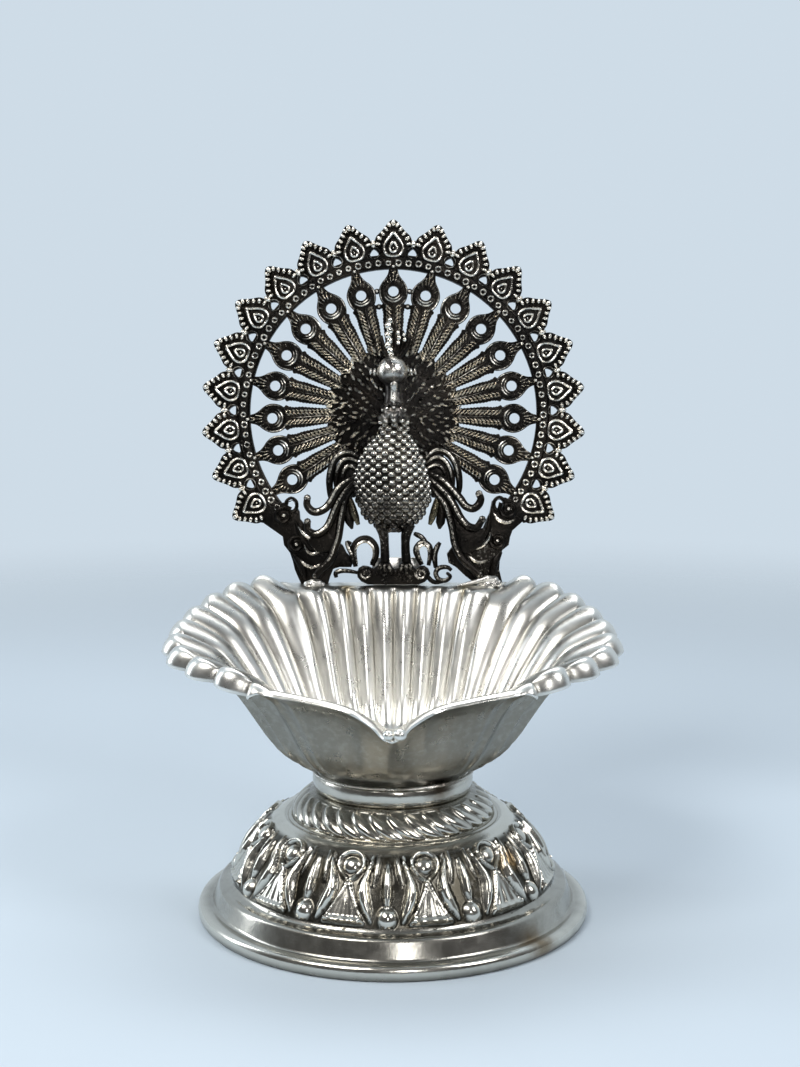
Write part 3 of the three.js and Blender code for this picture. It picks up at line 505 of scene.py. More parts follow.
def motifRelief(a, s, half):
    # a: millimetres beside the motif's middle line, s: millimetres down from the motif's top
    a = abs(a)
    beside = half - a
    out = math.hypot(a, s - 2.3)
    boss = 0.6 * swell(out / 1.35, 0.6)
    ring = 0.7 * swell((out - 1.85) / 0.38) if s < 2.9 else 0.0
    taper = 1.85 * (1 - clamp((s - 2.5) / 2.3) ** 1.6)
    tail = 0.65 * swell((a - taper) / 0.42) if 2.5 < s < 4.9 else 0.0
    side = rib(a, s, (0.8, 10.4), [2.85, 2.85, 2.6, 2.3, 2.35, 2.8, 3.4, 4.1],
               [0.25, 0.38, 0.48, 0.72, 0.95, 1.0, 0.8, 0.25], [0.4, 0.7, 0.8, 0.95, 1.1, 1.05, 0.8, 0.3])
    line = rib(a, s, (0.5, 5.4), [3.6, 3.75, 3.75, 3.6], [0.25, 0.4, 0.4, 0.2], [0.2, 0.38, 0.35, 0.15])
    ridge = rib(beside, s, (1.8, 8.7), [0, 0], [0.2, 0.6, 0.82, 0.74, 0.28], [0.4, 0.9, 1.05, 0.9, 0.35])
    knob = 0.92 * swell(math.hypot(beside * 0.92, (s - 9.8) * 0.82) / 1.35, 0.85)
    tongue, share = 0.0, (s - 4.8) / 5.8
    if 0 < share < 1.05:
        fan = 0.55 + 2.75 * share ** 1.25
        inside = smooth(fan - a, 0, 0.35) * smooth(10.85 - s, 0, 0.4)
        fine = 0.06 * math.cos(4 * math.pi * a / fan) * smooth(share, 0.3, 0.6)
        raised = 0.35 * swell((s - 10.3) / 0.5) + 0.2 * swell((fan - a - 0.3) / 0.35)
        tongue = inside * (0.42 + fine + raised)
    return max(boss, ring, tail, side, line, ridge, knob, tongue)


def curved(a, corner, b, t):
    return tuple(mix(mix(a[i], corner[i], t), mix(corner[i], b[i], t), t) for i in range(2))


def makeSkirt():
    edge = skirt["edge"]
    flange, thick = skirt["flange"], skirt["flangeThick"]
    top, foot = skirt["bandTop"], skirt["bandFoot"]
    rows = [(skirt["step"] - 0.9, 0, 0), (flange - edge, 0, 0)]
    for angle in (-60, -30, 0, 30, 60):
        turn = math.radians(angle)
        rows.append((flange - edge + edge * math.cos(turn), thick / 2 + (thick / 2) * math.sin(turn), 0))
    rows += [
        (flange - edge, thick, 0), (skirt["step"] + 0.5, thick + 0.05, 0),
        (skirt["step"] + 0.2, thick - 0.05, 0),
    ]
    wallFoot, wallTop, corner = (skirt["step"], thick), skirt["wallTop"], skirt["wallCorner"]
    for i in range(7):
        rows.append((mix(wallFoot[0], wallTop[0], i / 6), mix(wallFoot[1], wallTop[1], i / 6), 0))
    for i in range(1, 7):
        rows.append((*curved(wallTop, corner, (skirt["stepTop"], skirt["stepHeight"]), i / 6), 0))
    rows += [(r, z, 0) for r, z in skirt["rise"]]
    bandAt = len(rows)
    for i in range(skirt["bandRows"] + 1):
        rows.append((*curved(foot, skirt["shoulder"], top, i / skirt["bandRows"]), 1))
    rows += [(top[0] - aside, top[1] + lift, 0) for aside, lift in skirt["seatLip"]]
    rows += [
        (skirt["seatInner"], skirt["seat"] + 0.1, 0), (skirt["seatInner"], skirt["seat"] - skirt["wall"], 0),
    ]
    rows += [(r, z, 0) for r, z in skirt["inside"]]
    rows.append(rows[0])
    # lengths down the band, from its top, and the way out of it
    down = [0.0] * len(rows)
    for i in range(bandAt + skirt["bandRows"] - 1, bandAt - 1, -1):
        down[i] = down[i + 1] + math.dist(rows[i][:2], rows[i + 1][:2])
    columns = skirt["motifs"] * skirt["motifColumns"]
    known = {}

    def place(u, v):
        column, row = round(u * columns), round(v * (len(rows) - 1))
        angle = math.tau * column / columns
        r, z, isBand = rows[row]
        if not isBand:
            # dark film on the flange beside the step, tarnish together with painted shade, and a painted shadow
            # where the rim meets the table
            filmedAndShaded = max(
                0.4 * (1 - smooth(r, 28.6, 29.6)) * smooth(z, 1.6, 2.1), 0.75 * (1 - smooth(z, 0.2, 1.4)),
            )
            return turned(r, angle, z), 0.25 if row > bandAt else filmedAndShaded
        local = column % skirt["motifColumns"]
        local = min(local, skirt["motifColumns"] - local)
        if (local, row) not in known:
            half = math.pi * r / skirt["motifs"]
            aside = half * 2 * local / skirt["motifColumns"]
            known[local, row] = motifRelief(aside, down[row] - skirt["motifFrom"], half)
        relief = known[local, row] * smooth(down[row], 0.6, 1.5)
        slope = math.atan2(rows[row + 1][1] - z, rows[row + 1][0] - r)
        out = skirt["motifRelief"] * relief
        r, z = r + out * math.sin(slope), z - out * math.cos(slope)
        angle += math.radians(skirt["turn"])
        # dark film in the hollows between the motifs: tarnish together with painted shade
        filmAndShade = (1 - smooth(relief, 0.05, 0.5)) * smooth(down[row], 1.6, 2.6)
        return turned(r, angle, z), filmAndShade

    bm = surface(columns, len(rows) - 1, place)
    finished("foot_skirt", bm, skirtMetal, ["base_skirt"], sharp=60)


makeSkirt()

# Collar with slanted flutes, the smooth ring above it, and the seam under the bowl
collar = {"foot": 15.0, "flutes": 32, "relief": 0.5, "slant": 0.09, "from": 0.1, "to": 0.8}
neck = {
    "foot": 19.1, "height": 3.3, "radius": 11.3, "bulge": 1.0, "wall": 1.6,
    "seam": 12.35, "seamHeight": 22.3,
}


def makeCollar():
    outline = [
        (15.1, 0.0), (15.25, 0.5), (15.2, 1.2), (14.8, 2.1), (14.1, 2.9), (13.2, 3.6), (12.4, 4.0),
        (12.15, 4.1),
    ]
    run = smoothRun(lifted(outline), 5)
    columns, outside = collar["flutes"] * 14, len(run) - 1
    inside = [(9.7, 4.1), (10.6, 3.1), (12.1, 2.0), (13.3, 0.0)]

    def place(u, v):
        row = round(v * (outside + len(inside) + 1))
        angle = math.tau * u
        if row > outside:
            r, z = inside[row - outside - 1] if row <= outside + len(inside) else outline[0]
            return turned(r, angle, z + collar["foot"]), 0.0
        r, z = run[row].x, run[row].y
        share = row / outside
        # drops with a round foot and a drawn-out point, with a thin double line under them
        along = clamp((share - collar["from"]) / (collar["to"] - collar["from"]))
        width = 0.95 * along ** 0.3 * (1 - along) ** 0.75 + 0.02
        aside = (collar["flutes"] * (u + collar["slant"] * z / math.tau)) % 1 - 0.5
        drop = swell(aside / width, 0.8) * smooth(along, 0, 0.12)
        r += collar["relief"] * (drop - 0.45) * smooth(along, 0, 0.1) * (1 - smooth(along, 0.9, 1))
        r -= 0.16 * swell((share - 0.075) / 0.035)
        # dark film between the drops: tarnish together with painted shade
        return turned(r, angle, z + collar["foot"]), 0.6 * (1 - drop) * smooth(along, 0, 0.2)

    bm = surface(columns, outside + len(inside) + 1, place)
    finished("fluted_collar", bm, neckMetal, ["gadroon_collar"], sharp=60)


def makeNeck():
    rows = []
    for i in range(17):
        t = math.pi * i / 16
        lip = 0.18 * math.exp(-((i - 13.4) / 0.7) ** 2)
        across = neck["radius"] + neck["bulge"] * math.sin(t) ** 0.8 - lip
        rows.append((across, neck["foot"] + neck["height"] * (1 - math.cos(t)) / 2))
    inner = neck["radius"] - neck["wall"]
    rows += [(inner, neck["foot"] + neck["height"]), (inner, neck["foot"]), rows[0]]

    def place(u, v):
        r, z = rows[round(v * (len(rows) - 1))]
        angle = math.tau * u
        uneven = 0.07 * noise.noise(Vector((3 * math.cos(angle), 3 * math.sin(angle), z * 0.4)))
        return turned(r + uneven, angle, z), 0.15

    bm = surface(160, len(rows) - 1, place)
    finished("neck_band", bm, neckMetal, ["neck_ring"], sharp=60)


def makeSeam():
    # a lumpy bead of solder, thickest at the front right
    sides = 10

    def place(u, v):
        angle, tilt = math.tau * u, math.tau * v
        near = math.exp(-((math.degrees(angle) - 38) / 17) ** 2)
        lump = noise.noise(Vector((6 * math.cos(angle), 6 * math.sin(angle), 4.0)))
        lump += 0.6 * noise.noise(Vector((17 * math.cos(angle), 17 * math.sin(angle), tilt)))
        thick = 0.2 + 0.07 * lump + near * (0.22 + 0.1 * lump)
        r = neck["seam"] + thick * math.cos(tilt)
        z = neck["seamHeight"] + thick * 0.9 * math.sin(tilt)
        return turned(r, angle, z), 0.5 * near

    finished("seam_solder", surface(220, sides, place), solderMetal, ["neck_solder"], sharp=70)


makeCollar()
makeNeck()
makeSeam()

# Bowl: pressed shell with finger-like ribs that run from the middle over the brim
bowl = {
    "foot": 22.4, "floor": 24.0, "footRadius": 11.6, "wall": 0.95, "edge": 0.55,
    "pitch": 4.7, "growth": 0.235, "ribs": 13, "relief": 1.75, "reach": 1.7,
    "ledgeHalf": 18.2, "ledge": 46.4, "ribColumns": 16, "lipColumns": 56, "rowSteps": 8, "tipSteps": 14,
    "inset": 0.62, "curl": 2.3, "curlFrom": 0.915, "lipHalf": 7.0, "lipRound": 24.6, "ear": 0.13,
}
rim = [
    (0, 28.6, 47.0), (11, 28.7, 47.1), (20, 28.0, 47.6), (28.3, 23.2, 46.5), (33.6, 13.0, 44.4),
    (35.3, 3.0, 42.8), (34.2, -5.5, 42.0), (29.6, -13.5, 41.4), (24.6, -18.6, 41.0), (19.6, -21.4, 39.6),
    (12.6, -22.2, 38.4), (6.6, -23.6, 37.3), (3.0, -27.4, 36.2), (1.2, -31.2, 35.4), (0, -32.2, 35.2),
]
section = [
    # share of the way from foot to rim, height share, height share on the ledge, how strong the ribs are
    (0.0, 0.0, 0.0, 0.0), (0.13, 0.06, 0.06, 0.25), (0.26, 0.2, 0.22, 0.42), (0.36, 0.39, 0.46, 0.5),
    (0.46, 0.58, 0.72, 0.55), (0.58, 0.77, 0.93, 0.65), (0.67, 0.87, 1.0, 0.8), (0.8, 0.95, 1.0, 0.95),
    (0.92, 1.0, 1.0, 1.0), (1.0, 0.985, 0.97, 0.8),
]


def rimAt(run, lengths, length):
    length = clamp(length, 0, lengths[-1])
    low, high = 0, len(lengths) - 1
    while high - low > 1:
        middle = (low + high) // 2
        if lengths[middle] <= length:
            low = middle
        else:
            high = middle
    return run[low].lerp(run[high], (length - lengths[low]) / max(lengths[high] - lengths[low], 1e-9))


def bowlColumns():
    # rim point, height of the rib's crest, how ribbed and how curled the column is
    run = smoothRun(rim, 24)
    lengths = [0.0]
    for a, b in zip(run, run[1:]):
        lengths.append(lengths[-1] + (b - a).length)
    station = [bowl["pitch"] * n + bowl["growth"] * n * n / 2 for n in range(bowl["ribs"] + 1)]
    columns = []
    for n in range(bowl["ribs"]):
        for i in range(bowl["ribColumns"]):
            share = i / bowl["ribColumns"]
            point = rimAt(run, lengths, mix(station[n], station[n + 1], share))
            columns.append((point, math.sin(math.pi * share), 1.0, 1.0))
    for i in range(bowl["lipColumns"] + 1):
        share = i / bowl["lipColumns"]
        point = rimAt(run, lengths, mix(station[-1], lengths[-1], share))
        ear = share / bowl["ear"]
        if ear < 1:
            columns.append((point, math.sin(math.pi * ear), mix(0.55, 0.2, smooth(ear)), 1 - smooth(ear)))
        else:
            columns.append((point, smooth(ear, 1, 1.5), 0.2 * (1 - smooth(ear, 1, 1.6)), 0.0))
    return columns


def sectionAt(row):
    low = min(int(row), len(section) - 2)
    before, a = section[max(low - 1, 0)], section[low]
    b, after = section[low + 1], section[min(low + 2, len(section) - 1)]
    t = row - low
    values = []
    for p, q, r, s in zip(before, a, b, after):
        bend = t * (1 - t) / 2 * ((1 - t) * (r - p - (r - q) * 2) - t * (s - q - (r - q) * 2))
        values.append(mix(q, r, t) + bend * 0.9)
    return values


def bowlBase(row, column):
    # the section without its ribs
    point, crest, ribbed, curled = column
    share, height, onLedge, _ = sectionAt(row)
    aside = smooth(point.x, bowl["ledgeHalf"], 1.3 * bowl["ledgeHalf"])
    ledge = 1 - aside if point.y > 0 else 0
    notch = (1 - crest ** 0.6) * ribbed * bowl["reach"] * smooth(share, 0.72, 1.0)
    reach = math.hypot(point.x, point.y) - notch * (1 - ledge) - bowl["inset"] * ribbed
    plain = min(reach, bowl["lipRound"]) if point.x < bowl["lipHalf"] and point.y < 0 else reach
    across = mix(bowl["footRadius"], plain, share) + (reach - plain) * smooth(share, 0.5, 1.0) ** 1.4
    top = mix(point.z, bowl["ledge"], ledge)
    z = mix(bowl["floor"], top, mix(height, onLedge, ledge))
    tip = clamp((share - bowl["curlFrom"]) / (1 - bowl["curlFrom"]))
    return across, z - bowl["curl"] * curled * (1 - ledge) * (1 - math.sqrt(1 - 0.96 * tip * tip)), ledge


def bowlSlope(row, column):
    x0, z0, _ = bowlBase(max(row - 0.15, 0), column)
    x1, z1, _ = bowlBase(min(row + 0.15, len(section) - 1), column)
    long = math.hypot(x1 - x0, z1 - z0)
    return (x1 - x0) / long, (z1 - z0) / long


def bowlPoint(row, column, below=0.0, beyond=0.0):
    # a point of the inner skin, or of the outer one below it
    point, crest, ribbed, _ = column
    share, _, _, ribs = sectionAt(row)
    x, z, ledge = bowlBase(row, column)
    alongX, alongZ = bowlSlope(row, column)
    flat = 1 - ledge * smooth(share, 0.6, 0.67)
    crest = crest ** mix(0.72, 0.55, smooth(share, 0.5, 0.8))
    rise = (crest - 0.62) * ribbed * bowl["relief"] * ribs * flat - below
    return x - rise * alongZ + beyond * alongX, z + rise * alongX + beyond * alongZ


def makeBowl():
    half = bowlColumns()
    count = 2 * len(half) - 2
    last = len(section) - 1
    inside = [i / bowl["rowSteps"] for i in range((last - 1) * bowl["rowSteps"])]
    inside += [last - 1 + i / bowl["tipSteps"] for i in range(bowl["tipSteps"] + 1)]
    outside = [
        9, 8.9, 8.8, 8.7, 8.55, 8.4, 8.2, 8, 7.6, 7.2, 6.8, 6.4, 6, 5.6, 5.2, 4.8, 4.4, 4, 3.6, 3.2, 2.8, 2.4,
        2, 1.6, 1.2, 0.8, 0.4,
    ]
    total = len(inside) + len(outside) + 3
    known = {}

    def sectionPoint(index, column):
        # middle of the floor, inner skin, rounded edge, outer skin, foot
        if index == 0:
            return 0.0, bowl["floor"]
        if index <= len(inside):
            return bowlPoint(inside[index - 1], column)
        index -= len(inside) + 1
        if index == 0:
            return bowlPoint(last, column, bowl["edge"] / 2, bowl["edge"] * 0.4)
        if index <= len(outside):
            row = outside[index - 1]
            return bowlPoint(row, column, mix(bowl["wall"], bowl["edge"], smooth(row, 6.5, 9)))
        return (bowl["footRadius"], bowl["foot"]) if index == len(outside) + 1 else (0.0, bowl["foot"])

    def place(u, v):
        number, index = round(u * count) % count, round(v * total)
        side = 1 if number < len(half) else -1
        number = number if side > 0 else count - number
        if (number, index) not in known:
            x, z = sectionPoint(index, half[number])
            point, crest, ribbed, _ = half[number]
            around = math.atan2(point.y, point.x)
            # dark film in the rib valleys, tarnish together with painted shade; the whole outer skin gets a
            # dark film as a painted reflection
            valleyFilmAndShade = (1 - crest) ** 1.5 * ribbed * smooth(index, 14, 40)
            paintedDarkOutside = 0.82 if index > len(inside) + 2 else 0.0
            known[number, index] = (x * math.cos(around), x * math.sin(around), z, max(valleyFilmAndShade * 0.62, paintedDarkOutside))
        x, y, z, filmAndShade = known[number, index]
        return Vector((side * x, y, z)), filmAndShade

    bm = surface(count, total, place)
    finished("shell_bowl", bm, bowlMetal, ["lamp_bowl"], sharp=70)


def makeLipDrops():
    # two small round drops of metal at the very tip of the lip
    bm = bmesh.new()
    for at, size in (((-0.45, -31.75, 35.6), 0.78), ((1.05, -31.7, 35.65), 0.95)):
        bead(bm, Vector(at), size, (1, 1, 0.9), 20, 20, 12)
    finished("lip_drops", bm, bowlMetal)


makeBowl()
makeLipDrops()

# Fan of the plate: rim of petals, ring with small eyelets, eye feathers and hub
fan = {
    "petals": 19, "span": 246.6, "ringInner": 23.8, "notch": 28.35, "field": 0.2,
    "feathers": 17, "eye": 20.15, "eyeHole": 0.88, "hub": 11.2,
}
fan["pitch"] = fan["span"] / (fan["petals"] - 1)
fan["step"] = fan["span"] / (fan["feathers"] - 1)
petalSide = [(0.0, 32.0), (0.5, 31.7), (0.98, 31.2), (1.45, 30.55), (2.05, 29.85), (2.7, 29.2), (3.02, 28.5)]


def turnedBy(angle):
    return Matrix.Rotation(math.radians(-angle), 4, "Z")


def petalAngles():
    return [n * fan["pitch"] - fan["span"] / 2 for n in range(fan["petals"])]


def featherAngles():
    return [n * fan["step"] - fan["span"] / 2 for n in range(fan["feathers"])]


def makePetalField():
    # the flat metal behind petals and ring, cut by the eyelets between the petals
    half = fan["pitch"] / 2
    bm = bmesh.new()
    outline, holes = [], []
    eyelet = [(0, 27.3), (0.35, 27.05), (0.66, 26.6), (0.78, 26.15)]
    for angle in petalAngles():
        turn, middle = turnedBy(angle), turnedBy(angle + half)
        outline += [turn @ point for point in lifted(flipped(petalSide) + petalSide[1:])]
        outline.append(polar(fan["notch"], angle + half))
        if angle < fan["span"] / 2 - 1:
            holes.append([middle @ point for point in lifted(eyelet + flipped(eyelet[1:]))])
    first = -fan["span"] / 2 - half
    steps = 4 * fan["petals"]
    for i in range(steps + 1):
        outline.append(polar(fan["ringInner"], mix(-first, first, i / steps)))
    outline.append(polar(fan["notch"], first))
    slab(bm, outline, -plate["back"], fan["field"], holes, 0.16)
    markWear(bm, 0.06)
    finishedCasting("fan_rim_field", bm, plateMetal, "tail_fan")


def petalRelief():
    # low edge, knuckles that point inwards, and a teardrop ring round a small round ring
    bm = bmesh.new()
    top = fan["field"]
    side = [
        (0.3, 31.6), (0.9, 31.0), (1.38, 30.4), (1.95, 29.75), (2.58, 29.15), (2.88, 28.5), (2.85, 27.7),
        (2.45, 27.0),
    ]
    swept(bm, lifted(flipped(side) + side, top), [0.16, 0.22, 0.22, 0.26, 0.22, 0.22, 0.16], 6, 2)
    markWear(bm, 0.1, top + 0.14, 0.5)
    before = len(bm.verts)
    knuckles = ((0.66, 30.95, 34), (1.18, 30.25, 40), (1.74, 29.5, 48), (2.3, 28.75, 62), (2.5, 27.85, 86))
    for flip in (-1, 1):
        for x, y, lean in knuckles:
            bead(bm, (flip * x, y, top + 0.3), 0.33, (0.95, 1.55, 1.3), -flip * lean, 8, 6)
    bead(bm, (0, 31.3, top + 0.3), 0.42, (0.9, 1.4, 1), 0, 8, 6)
    outer = [(0, 29.75), (0.55, 29.1), (1.15, 28.35), (1.55, 27.5), (1.5, 26.7), (0.9, 26.0)]
    ring = outer + flipped(outer[1:])
    swept(bm, lifted(ring, top + 0.24), [0.24, 0.19, 0.19, 0.2, 0.2, 0.19, 0.24], 6, 3, closed=True)
    inner = [(0, 28.2), (0.4, 27.75), (0.62, 27.2), (0.45, 26.75), (0, 26.55)]
    ring = inner + flipped(inner[1:-1])
    swept(bm, lifted(ring, top + 0.3), [0.2, 0.17, 0.18, 0.18, 0.18, 0.17, 0.2], 6, 3, closed=True)
    bead(bm, (0, 27.2, top + 0.15), 0.17, sides=6, rings=4)
    markWear(bm, 0.1, top + 0.1, 0.35, since=before)
    return bm


def makePetals():
    bm = bmesh.new()
    stamped(bm, petalRelief(), [turnedBy(angle) for angle in petalAngles()])
    finishedCasting("fan_petal_relief", bm, plateMetal, "tail_fan")


def makeRingRelief():
    # thin edges of the ring, ring beads round it, links between petals
    bm = bmesh.new()
    top = fan["field"]
    half = fan["span"] / 2 + fan["pitch"] / 2
    for radius, thick in ((24.05, 0.2), (25.75, 0.18)):
        swept(bm, [polar(radius, mix(-half, half, i / 38), top) for i in range(39)], [thick, thick], 6, 2)
    markWear(bm, 0.05, base=0.22)
    before = len(bm.verts)
    count = 68
    random.seed(5)
    for i in range(count):
        angle = mix(-half + 1, half - 1, i / (count - 1))
        at = polar(24.85 + random.uniform(-0.1, 0.1), angle, top + 0.2)
        ringBead(bm, at, 0.4 + random.uniform(-0.04, 0.08), 0.16, 9)
    for angle in petalAngles()[:-1]:
        between = angle + fan["pitch"] / 2
        ringBead(bm, polar(26.6, between, top + 0.1), 0.95, 0.17, 12)
        bead(bm, polar(28.0, between, top + 0.1), 0.62, (0.8, 1.25, 1.1), -between)
    for angle in featherAngles():
        bead(bm, polar(24.2, angle, top + 0.1), 0.34, (1.1, 0.9, 1.2))
    markWear(bm, 0.1, top + 0.04, 0.34, since=before)
    finishedCasting("fan_ring_relief", bm, plateMetal, "tail_fan")


featherSide = [
    (0.62, 24.3), (0.8, 23.3), (1.15, 22.5), (1.8, 21.7), (2.25, 20.9), (2.42, 20.1), (2.3, 19.2),
    (1.98, 18.45), (1.78, 18.1), (2.08, 17.75), (1.8, 17.2), (1.64, 16.4), (1.66, 15.3), (1.55, 14.2),
    (1.42, 13.1), (1.3, 12.0), (1.2, 11.0), (1.1, 9.6),
]


def featherPart():
    bm = bmesh.new()
    top = 0.15
    edge = []
    run = smoothRun(lifted(featherSide), 4)
    for i, point in enumerate(run):
        tooth = 0.1 if i % 2 and point.y < 17.2 else 0.0
        edge.append((point.x + tooth, point.y))
    hole = oval((0, fan["eye"]), fan["eyeHole"], fan["eyeHole"], 14)
    slab(bm, edge + flipped(edge), -plate["back"], top, [hole])
    # thin raised edge of the eye, open at the shaft
    eye = [
        (1.3, 17.9), (1.9, 18.6), (2.15, 19.4), (2.2, 20.3), (1.98, 21.1), (1.38, 21.95), (0.84, 22.8),
        (0.56, 23.9),
    ]
    for side in (-1, 1):
        line = lifted([(side * x, y) for x, y in eye], top + 0.06)
        swept(bm, line, [0.14, 0.19, 0.19, 0.17, 0.16, 0.14], 6, 3)
    # two crescents under the hole
    for reach, thick in ((1.28, 0.15), (1.72, 0.16)):
        angles = [math.radians(a) for a in range(-110, 111, 20)]
        bow = [(reach * math.sin(a), fan["eye"] - reach * math.cos(a)) for a in angles]
        radii = [0.05, 0.6 * thick, thick, 1.2 * thick, thick, 0.6 * thick, 0.05]
        swept(bm, lifted(bow, top + 0.12), radii, 6, 1)
    # ribs of the vane above the eye
    for x, y, lean, length in (
        (0, 22.6, 0, 0.9), (0.5, 22.3, -12, 0.8), (1.0, 21.8, -26, 0.7), (1.5, 21.1, -34, 0.5),
        (0.26, 23.5, -4, 0.6),
    ):
        for side in (-1, 1) if x else (1,):
            grain(bm, (side * x, y, top + 0.1), length, 0.15, side * lean, 0.34)
    # quill with barbs that lean outwards, like a braid
    quill = [(0, 9.4), (0.08, 12.5), (-0.06, 15.5), (0, 18.0)]
    swept(bm, lifted(quill, top + 0.02), [0.2, 0.2, 0.2, 0.14], 6, 3)
    for i in range(12):
        y = 10.2 + 0.66 * i
        reach = mix(0.45, 0.62, i / 11)
        for side in (-1, 1):
            grain(bm, (side * reach, y + 0.14 * side, top + 0.08), 0.6, 0.2, -side * 38, 0.4)
            grain(bm, (side * (reach + 0.52), y + 0.34, top + 0.04), 0.42, 0.2, -side * 24, 0.42)
    markWear(bm, 0.11, top, 0.34)
    return bm


def makeFeathers():
    bm = bmesh.new()
    stamped(bm, featherPart(), [turnedBy(angle) for angle in featherAngles()])
    finishedCasting("fan_feathers", bm, plateMetal, "tail_fan")
    # small links between the eyes at the top of the fan
    bm = bmesh.new()
    for angle in (-fan["step"] / 2, fan["step"] / 2):
        for radius in (20.3, 17.75):
            bead(bm, polar(radius, angle, -0.3), 0.62, (1.0, 0.8, 1.1), -angle)
    markWear(bm, 0.1, 0.1, 0.5)
    finishedCasting("fan_links", bm, plateMetal, "tail_fan")


def makeHub():
    # solid middle of the fan, covered with small leaf dashes that run outwards
    bm = bmesh.new()
    outline = []
    count = 4 * fan["feathers"]
    for i in range(count):
        outline.append(polar(fan["hub"] - (0 if i % 2 else 0.5), i * 360 / count))
    slab(bm, outline, -plate["back"], fan["field"], (), 0.3)
    random.seed(11)
    rubbed = []
    rings = (
        (10.75, 46), (9.85, 42), (8.95, 38), (8.05, 34), (7.15, 31), (6.25, 27), (5.35, 23), (4.45, 19),
        (3.5, 15),
    )
    for ringNumber, (radius, number) in enumerate(rings):
        for i in range(number):
            angle = (i + 0.5 * (ringNumber % 2)) * 360 / number + random.uniform(-3, 3)
            at = polar(radius + random.uniform(-0.3, 0.3), angle, fan["field"] + random.uniform(-0.05, 0.12))
            first = len(bm.verts)
            length, width = random.uniform(0.42, 0.8), random.uniform(0.24, 0.36)
            grain(bm, at, length, width, -angle + random.uniform(-30, 30), 0.5)
            rubbed.append((first, len(bm.verts), random.choice((0.45, 0.65, 0.85, 1.1, 1.35))))
    markWear(bm, 0.12, fan["field"] - 0.05, 0.36)
    wearAndPaintedLight = bm.verts.layers.float["wearAndPaintedLight"]
    bm.verts.ensure_lookup_table()
    for first, last, share in rubbed:
        for vert in bm.verts[first:last]:
            vert[wearAndPaintedLight] = clamp(vert[wearAndPaintedLight] * share)
    finishedCasting("fan_hub_leaves", bm, plateMetal, "tail_fan")


makePetalField()
makePetals()
makeRingRelief()
makeFeathers()
makeHub()

# Leafy feet of the plate, each with a spiral boss, a scalloped hollow and a teardrop eye
feet = {"top": 0.55, "seat": -28.45}
leftFoot = [
    (-23.6, -16.6), (-21.4, -18.4), (-18.4, -20.5), (-18.2, -21.9), (-17.2, -23.2), (-16.7, -24.7),
    (-16.4, -26.0), (-15.9, -27.2), (-15.3, feet["seat"]), (-10.9, feet["seat"]), (-10.5, -27.1),
    (-10.0, -25.9), (-9.0, -25.6), (-7.0, -25.6), (-6.6, -24.4), (-7.8, -23.2), (-8.4, -22.0), (-9.6, -20.9),
    (-12.2, -20.6), (-13.6, -19.9), (-14.4, -18.9), (-15.0, -18.2), (-15.5, -17.6), (-15.6, -16.4),
    (-16.6, -14.4), (-18.4, -14.9), (-20.2, -15.6), (-21.6, -15.4),
]
rightFoot = [
    (23.8, -16.4), (21.7, -17.8), (19.8, -19.5), (19.4, -20.6), (19.2, -21.9), (18.1, -22.8), (17.7, -24.4),
    (17.6, -26.0), (18.2, feet["seat"]), (13.8, feet["seat"]), (12.0, -27.1), (10.4, -25.6), (9.2, -24.9),
    (8.9, -23.4), (9.9, -22.0), (11.6, -21.0), (13.4, -20.4), (14.6, -19.7), (15.1, -18.6), (15.5, -17.6),
    (16.0, -16.6), (16.4, -14.6), (18.6, -14.0), (20.4, -14.8), (22.0, -15.0),
]


footRelief = {
    # lower scroll, thin bright arcs, broad dark bars
    "left": {
        "boss": (-18.2, -17.0), "eye": (-16.95, -15.3), "low": (-16.1, -21.8), "turn": 40,
        "arcs": [
            [(-14.8, -21.5), (-14.35, -22.8), (-13.6, -23.35), (-12.8, -23.2), (-11.8, -22.5), (-10.9, -21.4)],
            [(-15.9, -18.6), (-15.0, -19.9), (-13.7, -20.9), (-12.2, -21.3), (-10.6, -20.9)],
            [(-15.6, -24.2), (-14.6, -25.2), (-13.2, -25.6), (-11.9, -24.9)],
        ],
        "bars": [
            [(-16.2, -18.2), (-15.4, -20.3), (-14.2, -22.0), (-12.6, -22.6), (-11.0, -21.9)],
            [(-16.6, -23.4), (-15.4, -25.2), (-14.6, -27.6)],
            [(-9.3, -22.4), (-10.2, -24.2), (-11.6, -25.8), (-12.4, -27.9)],
        ],
    },
    "right": {
        "boss": (19.1, -15.9), "eye": (17.6, -15.15), "low": (17.3, -21.2), "turn": 140,
        "arcs": [
            [(16.4, -16.4), (17.4, -17.7), (18.9, -18.2), (20.4, -17.6)],
            [(11.2, -21.4), (12.8, -22.4), (14.5, -22.2), (15.7, -20.9), (16.2, -19.6)],
            [(12.4, -23.6), (14.0, -24.8), (15.8, -24.4)],
        ],
        "bars": [
            [(16.0, -17.0), (15.6, -19.4), (14.4, -20.9), (12.6, -21.3), (10.6, -21.8)],
            [(17.9, -23.0), (17.0, -24.6), (16.5, -26.4), (16.4, -27.8)],
            [(10.4, -22.8), (11.6, -24.6), (13.4, -26.2), (14.6, -27.9)],
        ],
    },
}


